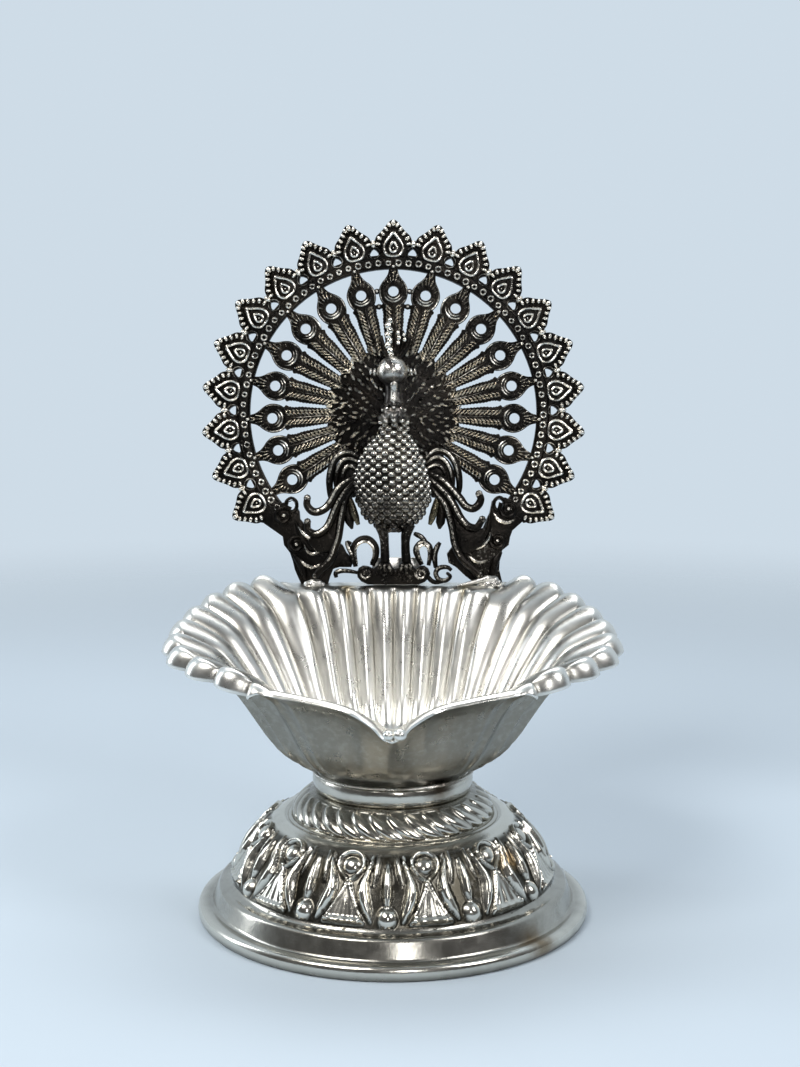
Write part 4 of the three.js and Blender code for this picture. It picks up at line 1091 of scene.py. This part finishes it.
def makeFoot(side, outline):
    relief = footRelief[side]
    bm = bmesh.new()
    top = feet["top"]
    eye = relief["eye"]
    slab(bm, outline, -plate["back"], top, [oval(eye, 0.62, 0.8, 10)], 0.35, 3)
    markWear(bm, 0.04, base=0.1)
    before = len(bm.verts)
    # broad bars that cross the leaf, and two scrolls
    for bar in relief["bars"]:
        swept(bm, lifted(bar, top), [0.3, 0.62, 0.66, 0.6, 0.35], 10, 4, flat=0.9)
    for centre, reach in ((relief["boss"], 1.6), (relief["low"], 1.45)):
        swept(bm, spiral(centre, reach, 0.4, 1.5, relief["turn"], top + 0.2), [0.36, 0.4, 0.34, 0.2], 8, 1)
    circle = [(eye[0] + math.sin(a), eye[1] + 1.2 * math.cos(a)) for a in (0.0, 1.05, 2.1, 3.14, 4.2, 5.24)]
    swept(bm, lifted(circle, top), [0.26, 0.26], 8, 3, closed=True)
    markWear(bm, 0.3, top + 0.3, 0.9, 0.12, before)
    before = len(bm.verts)
    for arc in relief["arcs"]:
        swept(bm, lifted(arc, top + 0.5), [0.1, 0.26, 0.3, 0.26, 0.1], 6, 3)
    for centre in (relief["boss"], relief["low"]):
        bead(bm, (*centre, top + 0.35), 0.34, (1, 1, 0.9))
    markWear(bm, 0.1, base=0.8, since=before)
    finishedCasting(side + "_leaf_foot", bm, scrollMetal, "tail_fan")


makeFoot("left", leftFoot)
makeFoot("right", rightFoot)

# Bird: beaded body, smooth neck and head, beak, collars, crest and legs
bird = {
    "base": plate["figureBack"] + 0.3, "depth": 5.3, "beadRows": 26, "beadPitch": 1.95,
    "beadSize": (0.64, 0.7), "beadSpread": 84, "fullHalf": 6.7, "paintedHighlightAt": (1.6, -8.5), "paintedHighlightReach": 5.5,
    "head": (-0.15, 6.65), "headRadius": 2.46,
}
bodyShape = [
    # height, middle, half width
    (-1.3, 0.2, 1.5), (-1.95, 0.25, 2.0), (-4.4, 0.0, 3.05), (-6.0, -0.3, 4.2), (-7.6, -0.3, 5.2),
    (-9.3, -0.3, 5.85), (-10.9, -0.25, 6.2), (-12.5, -0.1, 6.4), (-14.1, 0.0, 6.2), (-15.8, 0.0, 5.6),
    (-17.4, 0.0, 4.6), (-18.7, 0.1, 3.0), (-19.6, 0.1, 0.9),
]


def bodyAt(height):
    rows = bodyShape
    for (y0, m0, w0), (y1, m1, w1) in zip(rows, rows[1:]):
        if height >= y1:
            t = clamp((y0 - height) / (y0 - y1))
            return mix(m0, m1, t), mix(w0, w1, t)
    return rows[-1][1], rows[-1][2]


def depthAt(half):
    # how far the breast stands out where the body is so wide
    return bird["depth"] * (half / bird["fullHalf"]) ** 0.75


def bodyPoint(height, share):
    # share runs over the front from the left side, -1, to the right side, 1
    middle, half = bodyAt(height)
    angle = share * math.pi / 2
    return Vector((
        middle + half * math.sin(angle), height, bird["base"] + depthAt(half) * math.cos(angle),
    )), angle


def makeBody():
    bm = bmesh.new()
    bmesh.ops.create_uvsphere(bm, u_segments=40, v_segments=26, radius=1)
    lowest, highest = bodyShape[-1][0] - 0.2, bodyShape[0][0]
    for vert in bm.verts:
        height = mix(lowest, highest, (vert.co.z + 1) / 2)
        middle, half = bodyAt(height)
        flat = math.hypot(vert.co.x, vert.co.y)
        aside, ahead = (vert.co.x / flat, vert.co.y / flat) if flat > 1e-5 else (0, 0)
        half = half if flat > 1e-5 else 0
        deep = depthAt(half) if ahead > 0 else 0.3
        vert.co = Vector((middle + (half - 0.12) * aside, height, bird["base"] + (deep - 0.15) * ahead))
    rows = bird["beadRows"]
    for row in range(rows):
        height = mix(-2.1, -19.1, row / (rows - 1))
        half = bodyAt(height)[1]
        low = smooth(row, rows * 0.45, rows * 0.8)
        size = mix(*bird["beadSize"], low)
        pitch = bird["beadPitch"] / (half * 0.5 + depthAt(half) * 0.5)
        for i in range(-6, 7):
            angle = (i + 0.5 * (row % 2)) * pitch
            if abs(angle) > math.radians(bird["beadSpread"]):
                continue
            at, angle = bodyPoint(height, 2 * angle / math.pi)
            sunk = Vector((math.sin(angle), 0, math.cos(angle))) * mix(0.2, 0.32, low)
            matrix = (
                Matrix.Translation(at - sunk)
                @ Matrix.Rotation(angle, 4, "Y") @ Matrix.Rotation(-0.3 * low, 4, "X")
                @ Matrix.Diagonal((size, size, size * mix(1.0, 0.8, low), 1))
            )
            bmesh.ops.create_uvsphere(bm, u_segments=10, v_segments=7, radius=1, matrix=matrix)
    markWear(bm, 0.3, base=-0.04)
    # painted light: each bead is lighter on its upper side and darker below, and a painted highlight lightens
    # the right of the breast; towards the legs the upper side counts less and all is rubbed a little more
    wearAndPaintedLight = bm.verts.layers.float["wearAndPaintedLight"]
    for vert in bm.verts:
        paintedHighlight = 1 - math.dist((vert.co.x, vert.co.y), bird["paintedHighlightAt"]) / bird["paintedHighlightReach"]
        low = smooth(-vert.co.y, 11.0, 16.0)
        paintedTopLight = 0.36 * (0.8 * vert.normal.y + 0.2 * vert.normal.z) * mix(1.0, 0.25, low)
        vert[wearAndPaintedLight] = clamp(vert[wearAndPaintedLight] + paintedTopLight + 0.05 * low + 0.12 * paintedHighlight)
    finishedCasting("bird_body", bm, birdMetal, "peacock_figure")


def makeHead():
    bm = bmesh.new()
    x, y = bird["head"]
    radius = bird["headRadius"]
    z = bird["base"] + radius + 0.1
    bead(bm, (x, y, z), radius, (1, 1, 1), 0, 32, 20)
    markWear(bm, 0.0, base=0.95)
    # painted shade under the face, with two small eyes pressed in
    wearAndPaintedLight = bm.verts.layers.float["wearAndPaintedLight"]
    for vert in bm.verts:
        paintedShade = 0.62 * smooth(y - vert.co.y, -0.1, 1.3)
        near = min(math.dist(vert.co.xy, (x + at, y - 0.35)) for at in (-1.25, 1.25))
        vert[wearAndPaintedLight] = clamp(vert[wearAndPaintedLight] - paintedShade - 0.35 * (1 - smooth(near, 0.15, 0.5)))
    before = len(bm.verts)
    # smooth neck that widens down to the collar
    throat = [(0.0, y - 0.9, -0.7), (0.0, 4.2, -0.7), (0.05, 2.6, -0.7), (0.1, 0.8, -0.6), (0.1, -1.6, -0.2)]
    swept(bm, lifted(throat, z), [1.5, 1.3, 1.42, 1.7, 2.05], 24, 5, flat=0.9)
    markWear(bm, 0.0, base=0.38, since=before)
    before = len(bm.verts)
    # beak: a long bright drop down the front of the neck
    beak = [(0.05, 5.2, 1.3), (0.1, 4.5, 1.15), (0.1, 3.2, 0.85), (0.05, 1.8, 1.05), (0.0, 1.0, 1.2)]
    swept(bm, lifted(beak, z), [0.34, 0.6, 0.52, 0.56, 0.34], 12, 4)
    # thin tufts beside the head
    for side, at in ((-1, -3.05), (1, 2.95)):
        bead(bm, (at, y - 0.1, z - 0.9), 0.34, (0.8, 2.0, 1.4), side * 6, 10, 7)
        bead(bm, (at + side * 0.62, y, z - 1.3), 0.28, (0.8, 2.2, 1.2), side * 10, 10, 7)
    markWear(bm, 0.1, base=0.75, since=before)
    finishedCasting("bird_head", bm, headMetal, "peacock_figure")


def makeCollars():
    # two scalloped necklaces
    bm = bmesh.new()
    base = bird["base"]
    count, spread = 5, math.radians(82)
    for height, half, deep, size, dip in ((0.95, 2.0, 4.0, 0.42, 0.45), (-0.75, 2.4, 4.75, 0.6, 0.75)):
        points = []
        for i in range(2 * count + 1):
            angle = (i / count - 1) * spread
            sag = dip * (i % 2) - 0.5 * math.cos(angle)
            points.append(Vector((0.1 + half * math.sin(angle), height - sag, base + deep * math.cos(angle))))
        swept(bm, points, [0.55 * size, 0.75 * size, 0.75 * size, 0.55 * size], 8, 3)
        for i in range(count):
            angle = ((2 * i + 1) / count - 1) * spread
            drop = height - 0.35 + 0.5 * math.cos(angle) - dip
            at = (0.1 + half * math.sin(angle), drop, base + deep * math.cos(angle))
            bead(bm, at, size * 0.7, (1, 1, 0.8))
    markWear(bm, 0.2, base=0.7)
    finishedCasting("bird_collars", bm, headMetal, "peacock_figure")


def makeCrest():
    # plumes on the head: a chain of bright beads at the left, curved dark quills at the right
    bm = bmesh.new()
    z = bird["base"] + 0.7
    quills = (
        ((1.5, 13.4), (1.8, 12.0), (1.45, 10.4), (0.6, 9.0)),
        ((2.5, 13.2), (2.55, 11.8), (2.0, 10.3), (1.0, 9.0)),
        ((0.85, 13.6), (1.0, 12.0), (0.75, 10.4), (0.3, 9.2)),
        ((-1.95, 12.6), (-1.8, 11.2), (-1.4, 10.0), (-0.8, 9.0)),
        ((0.2, 15.2), (0.4, 13.6), (0.35, 11.6), (0.1, 9.2)),
    )
    for line in quills:
        swept(bm, lifted(line, z), [0.2, 0.44, 0.5, 0.42], 8, 4)
    markWear(bm, 0.25, base=0.12)
    before = len(bm.verts)
    chains = (
        [
            (-0.5, 15.0, 0.5), (-0.85, 14.2, 0.62), (-0.5, 13.4, 0.6), (-0.85, 12.6, 0.68),
            (-0.6, 11.7, 0.62), (-0.85, 10.9, 0.64), (-0.5, 10.1, 0.6), (-0.3, 9.4, 0.55),
        ],
        [(0.75, 13.0, 0.4), (0.9, 12.2, 0.45), (0.8, 11.4, 0.42)],
        [(1.75, 12.7, 0.34), (1.85, 11.9, 0.36)],
    )
    for chain in chains:
        for x, y, size in chain:
            bead(bm, (x, y, z + 0.4), size, (1, 1.15, 0.9))
    markWear(bm, 0.15, base=0.5, since=before)
    finishedCasting("bird_crest", bm, birdMetal, "peacock_figure")


def makeLegs():
    bm = bmesh.new()
    z = bird["base"] + 1.3
    for run in (
        ((-2.0, -18.4), (-1.55, -20.4), (-1.4, -22.4), (-1.35, -24.6)),
        ((2.5, -18.4), (2.05, -20.4), (2.0, -22.4), (2.15, -24.6)),
    ):
        swept(bm, lifted(run, z), [1.15, 0.86, 0.72, 0.74, 0.8], 12, 4)
    markWear(bm, 0.2, base=0.4)
    finishedCasting("bird_legs", bm, scrollMetal, "peacock_figure")


makeBody()
makeHead()
makeCollars()
makeCrest()
makeLegs()

# Wing scrolls: shoulder arcs and tendrils
wingRoot = [(4.6, -7.0), (6.6, -7.2), (8.6, -7.6), (9.6, -9.6), (9.8, -12.6), (8.8, -14.2), (6.3, -14.0)]
wingLeft = {
    "shoulders": [
        ([
            (-4.6, -7.9), (-5.9, -7.2), (-6.8, -6.75), (-7.9, -6.65), (-9.3, -7.45), (-10.1, -8.95),
            (-10.5, -11.1), (-10.45, -13.2), (-10.2, -14.6),
        ], 0.62, 0.5),
        ([
            (-4.8, -8.8), (-5.9, -8.2), (-6.8, -7.75), (-7.7, -7.75), (-8.6, -8.4), (-9.2, -9.7), (-9.5, -11.4),
            (-9.35, -12.9),
        ], 0.48, 0.65),
        ([
            (-5.2, -9.8), (-6.4, -9.2), (-6.9, -8.9), (-7.5, -9.0), (-8.1, -9.8), (-8.4, -11.1), (-8.3, -12.2),
        ], 0.42, 0.8),
    ],
    "tendrils": [
        ([
            (-5.6, -10.4), (-6.9, -11.0), (-8.1, -11.7), (-9.3, -12.9), (-10.1, -14.4), (-11.1, -15.7),
            (-12.4, -16.35), (-13.4, -16.2), (-14.2, -15.2), (-14.15, -14.1),
        ], 0.66, 1.25),
        ([
            (-5.9, -11.0), (-7.4, -12.4), (-8.7, -14.3), (-9.5, -15.8), (-10.1, -17.3), (-10.9, -18.9),
            (-12.1, -19.85), (-13.1, -20.0), (-14.1, -19.3), (-14.15, -18.0),
        ], 0.66, 1.1),
        ([
            (-6.4, -12.2), (-7.6, -13.8), (-8.3, -16.1), (-8.7, -18.1), (-9.1, -20.7), (-9.6, -22.2),
            (-10.1, -23.7), (-10.9, -24.9), (-12.1, -26.0), (-12.8, -26.9),
        ], 0.62, 0.9),
    ],
    "leaf": [(-7.6, -14.6), (-7.7, -16.2), (-7.3, -17.6), (-6.8, -19.2)],
    "prong": [(-7.6, -13.4), (-6.95, -15.0), (-6.35, -16.8), (-5.75, -18.5)],
    "web": [
        (-8.2, -13.5), (-9.1, -15.1), (-9.8, -16.9), (-10.5, -18.5), (-11.6, -19.7), (-12.6, -20.2),
        (-13.6, -20.1), (-14.2, -21.4), (-12.6, -23.0), (-10.4, -22.9), (-9.6, -22.2), (-9.1, -20.7),
        (-8.7, -18.1), (-8.3, -16.1),
    ],
}
wingRight = {
    "shoulders": [
        ([
            (4.4, -8.0), (5.9, -7.3), (6.5, -6.6), (7.6, -6.25), (8.95, -6.7), (10.1, -8.1), (10.75, -10.2),
            (10.9, -12.4), (10.5, -14.2),
        ], 0.62, 0.5),
        ([
            (4.8, -8.9), (6.0, -8.2), (6.8, -7.55), (7.8, -7.5), (8.9, -8.4), (9.6, -10.0), (9.8, -11.8),
            (9.6, -13.0),
        ], 0.48, 0.65),
        ([(5.2, -9.7), (6.5, -9.0), (7.2, -8.7), (8.0, -9.1), (8.6, -10.2), (8.8, -11.6)], 0.42, 0.8),
    ],
    "tendrils": [
        ([
            (5.3, -9.7), (6.7, -10.3), (8.1, -11.1), (9.7, -12.7), (11.0, -14.2), (11.9, -15.4), (13.1, -15.8),
            (14.0, -15.2), (14.4, -14.2), (14.1, -13.4),
        ], 0.66, 1.25),
        ([
            (5.4, -10.4), (6.9, -11.7), (8.9, -13.6), (10.2, -15.7), (11.1, -17.4), (12.4, -18.75),
            (13.7, -18.95), (14.65, -17.6),
        ], 0.66, 1.1),
        ([
            (6.2, -12.2), (7.5, -13.8), (8.6, -15.3), (9.3, -17.3), (9.8, -19.4), (10.1, -21.5), (11.1, -23.8),
            (12.3, -25.1), (14.2, -26.7),
        ], 0.62, 0.9),
    ],
    "leaf": [(8.0, -14.6), (8.0, -16.2), (7.8, -17.8), (7.6, -19.2)],
    "prong": [(7.6, -13.4), (7.0, -15.2), (6.5, -17.0), (6.0, -18.5)],
    "web": [
        (8.4, -14.0), (9.7, -15.4), (10.7, -17.1), (11.8, -18.4), (12.8, -19.1), (13.8, -19.2), (14.9, -19.0),
        (15.4, -20.2), (14.6, -22.0), (12.6, -23.2), (10.9, -23.2), (10.1, -21.5), (9.8, -19.4), (9.3, -17.3),
        (8.6, -15.3),
    ],
}


def makeWing(name, node, wing):
    bm = bmesh.new()
    base = plate["figureBack"]
    side = -1 if wing is wingLeft else 1
    slab(bm, [(side * x, y) for x, y in wingRoot], base + 0.1, base + 0.6, (), 0.15)
    slab(bm, wing["web"], base + 0.1, base + 0.65, (), 0.15)
    markWear(bm, 0.04, base=0.1)
    before = len(bm.verts)
    for points, radius, lift in wing["shoulders"]:
        thick = [radius * 0.6, radius, radius, radius, radius * 0.6]
        swept(bm, lifted(points, base + lift), thick, 8, 4, flat=0.95)
    for points, radius, lift in wing["tendrils"]:
        thick = [radius * 0.8, radius * 1.1, radius * 1.1, radius * 1.05, radius * 1.05, radius * 0.85]
        swept(bm, lifted(points, base + lift), thick, 10, 4, flat=0.9)
        bead(bm, (*points[-1], base + lift), radius * 0.98, (1, 1.05, 0.85))
    swept(bm, lifted(wing["leaf"], base + 0.4), [0.35, 0.7, 0.8, 0.75, 0.2], 8, 4, flat=0.5)
    markWear(bm, 0.3, base + 1.0, 2.4, 0.16, before)
    before = len(bm.verts)
    # a thin bare ridge lies along each scroll, towards its upper left side, as a painted highlight
    for points, radius, lift in wing["shoulders"] + wing["tendrils"]:
        ridge = [Vector((p[0] - 0.14, p[1] + 0.16, base + lift + radius * 0.8)) for p in points[:-1]]
        swept(bm, ridge, [0.08, 0.22, 0.24, 0.22, 0.08], 6, 4)
    markWear(bm, 0.1, base=0.72, since=before)
    finishedCasting(name, bm, scrollMetal, node)
    bm = bmesh.new()
    swept(bm, lifted(wing["prong"], base + 0.55), [0.4, 0.55, 0.62, 0.6, 0.3], 10, 4, flat=0.7)
    markWear(bm, 0.4)
    finishedCasting(name + "_prong", bm, prongMetal, node)


makeWing("left_wing_scrolls", "left_wing", wingLeft)
makeWing("right_wing_scrolls", "right_wing", wingRight)

# Ground under the bird: a lumpy bar with spiral ends, claws, curls and low tendrils
ground = {"seat": -28.3, "lumps": 22}


def makeGround():
    bm = bmesh.new()
    base = plate["figureBack"]
    outline = [
        (-4.2, ground["seat"]), (-5.3, -27.8), (-5.9, -27.1), (-6.0, -26.3), (-5.7, -25.6), (-5.0, -25.2),
        (-4.2, -25.3), (-3.3, -25.7), (-2.6, -25.2), (-2.2, -24.4), (-1.0, -24.3), (-0.5, -25.3), (0.3, -25.7),
        (1.1, -25.3), (1.5, -24.4), (2.7, -24.3), (3.1, -25.2), (3.7, -25.7), (4.3, -25.3), (5.1, -25.2),
        (5.8, -25.7), (6.1, -26.5), (5.8, -27.3), (5.2, -27.9), (4.2, ground["seat"]),
    ]
    slab(bm, outline, base + 0.1, base + 1.7, (), 0.4, 3)
    ends = ((-4.5, 1.15, 60), (4.6, 1.05, 120))
    for x, radius, _ in ends:
        bead(bm, (x, -26.5, base + 1.5), radius, (1, 1, 0.6), 0, 14, 8)
    for middle in (-1.4, 2.1):
        for toe in (-0.85, 0, 0.85):
            steps = ((0.4, -24.6, 1.5), (0.9, -25.3, 2.2), (1.2, -26.2, 2.1))
            swept(bm, [(middle + toe * wide, y, base + z) for wide, y, z in steps], [0.4, 0.42, 0.2], 8, 3)
    random.seed(17)
    for _ in range(ground["lumps"]):
        x = random.uniform(-3.0, 3.4)
        at = Vector((x, random.uniform(-28.0, -25.9), base + 1.6))
        bead(bm, at, random.uniform(0.28, 0.5), (1, random.uniform(0.8, 1.4), 0.8), random.uniform(0, 90), 7, 5)
    markWear(bm, 0.2, base + 1.6, 1.2, 0.2)
    wearAndPaintedLight = bm.verts.layers.float["wearAndPaintedLight"]
    for vert in bm.verts:
        vert[wearAndPaintedLight] *= 0.66
    # rubbed spirals on the bar's round ends
    before = len(bm.verts)
    for x, radius, start in ends:
        swept(bm, spiral((x, -26.5), radius, 0.25, 1.5, start, base + 1.95), [0.24, 0.24, 0.2], 6, 1)
    markWear(bm, 0.1, base=0.66, since=before)
    finishedCasting("ground_bar", bm, scrollMetal, "ground_scroll")


groundCurls = [
    ([
        (-3.5, -25.2), (-2.9, -23.7), (-3.0, -22.1), (-4.1, -20.9), (-5.5, -21.0), (-6.5, -22.1), (-6.5, -23.7),
        (-6.2, -25.4),
    ], 0.62),
    ([(-6.3, -25.4), (-6.7, -23.7), (-7.3, -22.4), (-7.6, -21.4), (-6.9, -21.6)], 0.42),
    ([(4.7, -25.1), (4.0, -23.6), (3.8, -22.4), (4.8, -21.4), (5.9, -22.0), (6.1, -23.3), (5.8, -25.2)], 0.55),
    ([(7.0, -25.6), (6.8, -23.5), (7.2, -22.2), (7.7, -21.4)], 0.5),
    ([(3.4, -19.9), (4.6, -20.5), (5.6, -21.6)], 0.45),
    ([(-9.4, -27.2), (-9.5, -26.5), (-8.9, -26.15), (-7.6, -26.1), (-5.4, -26.5)], 0.42),
    ([
        (9.6, -26.0), (8.9, -25.5), (7.6, -25.6), (7.0, -26.4), (7.4, -27.4), (8.6, -27.7), (9.4, -27.0),
        (8.8, -26.4),
    ], 0.42),
    ([(5.3, -26.6), (6.6, -27.9), (8.2, -27.9)], 0.4),
]


def makeCurls():
    bm = bmesh.new()
    base = plate["figureBack"] + 0.9
    for points, radius in groundCurls:
        thick = [radius * 0.7, radius, radius, radius * 0.9, radius * 0.6]
        swept(bm, lifted(points, base), thick, 9, 4, flat=0.9)
    markWear(bm, 0.25, base + 0.35, 1.2, 0.2)
    before = len(bm.verts)
    # pale lines along the insides of the two curls
    for points, _ in (groundCurls[0], groundCurls[2]):
        middle = sum((Vector((p[0], p[1], 0)) for p in points), Vector()) / len(points)
        inner = [Vector((mix(p[0], middle.x, 0.2), mix(p[1], middle.y, 0.2), base + 0.5)) for p in points]
        swept(bm, inner, [0.12, 0.26, 0.26, 0.12], 6, 4)
    # bare ridges towards the upper left of the other curls are painted highlights
    for points, radius in groundCurls[1:7]:
        ridge = [Vector((p[0] - 0.1, p[1] + 0.12, base + radius * 0.85)) for p in points]
        swept(bm, ridge, [0.06, 0.2, 0.2, 0.06], 6, 4)
    markWear(bm, 0.1, base=0.75, since=before)
    finishedCasting("ground_curls", bm, scrollMetal, "ground_scroll")


makeGround()
makeCurls()

# Strip behind the feet, and the solder at the plate's feet
strip = {"thick": 0.78, "cuts": 14, "edge": 0.08, "bow": 0.1, "lean": 0.048}


def makeStrip():
    bm = bmesh.new()
    low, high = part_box("support_strip")
    size = [(high[i] - low[i]) / mm for i in range(3)]
    middle = Vector([(high[i] + low[i]) / 2 / mm for i in range(3)])
    bmesh.ops.create_cube(bm, size=1)
    bmesh.ops.scale(bm, vec=(size[0] - 0.05, strip["thick"], size[2] - 0.1), verts=bm.verts)
    edges = [edge for edge in bm.edges if abs(edge.verts[0].co.x - edge.verts[1].co.x) > 1]
    bmesh.ops.subdivide_edges(bm, edges=edges, cuts=strip["cuts"])
    bmesh.ops.bevel(
        bm, geom=list(bm.edges), offset=strip["edge"], affect="EDGES", segments=2, profile=0.5, material=-1,
    )
    # a little bowed, and leaning with the plate
    for vert in bm.verts:
        vert.co.y += strip["bow"] * math.sin(0.5 * vert.co.x) + strip["lean"] * vert.co.z
    bmesh.ops.translate(bm, vec=middle, verts=bm.verts)
    finished("bright_strip", bm, bowlMetal, ["support_strip"])


def makeSolderDrop(name, node, runs):
    # a frozen drop: a low dome drawn out along a ridge, with an uneven skin
    low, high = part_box(node)
    low, high = [value / mm for value in low], [value / mm for value in high]
    bm = bmesh.new()
    bmesh.ops.create_icosphere(bm, subdivisions=4, radius=1)
    for vert in bm.verts:
        skin = 1 + 0.16 * noise.noise(vert.co * 2.1) + 0.05 * noise.noise(vert.co * 7.0)
        height = max(0.0, vert.co.z) * skin
        vert.co = Vector((
            mix(low[0], high[0], (vert.co.x * min(skin, 1.05) + 1) / 2),
            mix(low[1], high[1], (vert.co.y * min(skin, 1.05) + 1) / 2),
            mix(low[2], high[2], min(height, 1.0)) if vert.co.z > 0 else low[2] - 0.12,
        ))
    for points, radii in runs:
        swept(bm, points, radii, 10, 5)
    finished(name, bm, solderMetal, [node], sharp=70)


makeStrip()
makeSolderDrop("left_solder", "left_foot_solder", [])
makeSolderDrop("right_solder", "right_foot_solder", [
    (
        [(15.5, 23.4, 47.6), (13.6, 23.3, 47.1), (12.0, 23.2, 46.7), (10.6, 23.1, 46.45)],
        [0.6, 0.42, 0.32, 0.16],
    ),
])
makeSolderDrop("strip_seam", "strip_solder", [])
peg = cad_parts["body_peg"]
peg.data.materials.clear()
peg.data.materials.append(plateMetal)

# Floor, light and camera
studio = {
    "pale": (0.62, 0.715, 0.80), "room": (0.05, 0.045, 0.04), "worldLight": 0.45,
    "fadeFrom": 0.17, "fadeTo": 0.42,
    "camera": (1.1, -251.0, 93.7), "pitch": 82, "lens": 56.8, "aim": (0, 0, 50),
    "lamps": [
        # place in millimetres, size, power, colour
        ((-230, -260, 430), (240, 160), 1.35, (1.0, 0.99, 0.97)),
        ((300, -220, 340), (150, 200), 0.75, (0.97, 0.98, 1.0)),
        ((0, 200, 440), (420, 160), 0.8, (1.0, 1.0, 1.0)),
        ((-340, 60, 160), (60, 220), 0.3, (0.9, 0.95, 1.0)),
        ((60, -420, 190), (40, 120), 0.25, (1.0, 1.0, 1.0)),
    ],
}


def makeFloor():
    bm = bmesh.new()
    bmesh.ops.create_circle(bm, cap_ends=True, segments=96, radius=studio["fadeTo"] * 1.2)
    mesh = bpy.data.meshes.new("floor")
    bm.to_mesh(mesh)
    bm.free()
    floor = bpy.data.objects.new("floor", mesh)
    bpy.context.scene.collection.objects.link(floor)
    material, tree, shader = newMaterial("pale_floor")
    place = newNode(tree, "TexCoord", {}, "Object")
    length = newNode(tree, "VectorMath", {0: place}, "Value", operation="LENGTH")
    fade = rangeNode(tree, length, studio["fadeFrom"], studio["fadeTo"], 1.0, 0.0)
    feed(tree, shader, {"Base Color": (*studio["pale"], 1), "Roughness": 0.9, "Alpha": fade})
    mesh.materials.append(material)


def makeWorld():
    # pale behind and above; darker towards the front, as a room is, so that metal has something to show
    world = bpy.data.worlds.new("studio")
    bpy.context.scene.world = world
    world.use_nodes = True
    tree = world.node_tree
    direction = newNode(tree, "TexCoord", {}, "Generated")
    front = rangeNode(tree, newNode(tree, "SeparateXYZ", {0: direction}, "Y"), -0.35, 0.35)
    high = rangeNode(tree, newNode(tree, "SeparateXYZ", {0: direction}, "Z"), 0.45, 0.95)
    ahead, above = mathNode(tree, "MULTIPLY", front, 0.8), mathNode(tree, "MULTIPLY", high, 0.2)
    room = mathNode(tree, "ADD", ahead, above, True)
    shown = mixColour(tree, rangeNode(tree, room, 0.0, 1.0, 0.06, 1.0), studio["room"], studio["pale"])
    paths = tree.nodes.new("ShaderNodeLightPath").outputs
    shine = mathNode(tree, "MAXIMUM", paths["Is Camera Ray"], paths["Is Glossy Ray"])
    shine = mathNode(tree, "MAXIMUM", shine, paths["Is Transmission Ray"])
    feed(tree, tree.nodes["Background"], {
        "Color": mixColour(tree, paths["Is Camera Ray"], shown, studio["pale"]),
        "Strength": rangeNode(tree, shine, 0.0, 1.0, studio["worldLight"], 1.0),
    })


def makeLamps():
    for number, (at, size, power, colour) in enumerate(studio["lamps"]):
        light = bpy.data.lights.new(f"softbox_{number}", "AREA")
        light.shape = "RECTANGLE"
        light.size, light.size_y = size[0] * mm, size[1] * mm
        light.energy, light.color = power, colour
        lamp = bpy.data.objects.new(f"softbox_{number}", light)
        lamp.location = Vector(at) * mm
        way = (Vector(studio["aim"]) - Vector(at)).normalized()
        lamp.rotation_euler = way.to_track_quat("-Z", "Y").to_euler()
        bpy.context.scene.collection.objects.link(lamp)


def makeCamera():
    data = bpy.data.cameras.new("camera")
    data.lens = studio["lens"]
    data.sensor_width = 36
    camera = bpy.data.objects.new("camera", data)
    camera.location = Vector(studio["camera"]) * mm
    camera.rotation_euler = (math.radians(studio["pitch"]), 0, 0)
    bpy.context.scene.collection.objects.link(camera)
    bpy.context.scene.camera = camera


makeFloor()
makeWorld()
makeLamps()
makeCamera()
bpy.context.scene.view_settings.view_transform = "Standard"

print("scene ready")
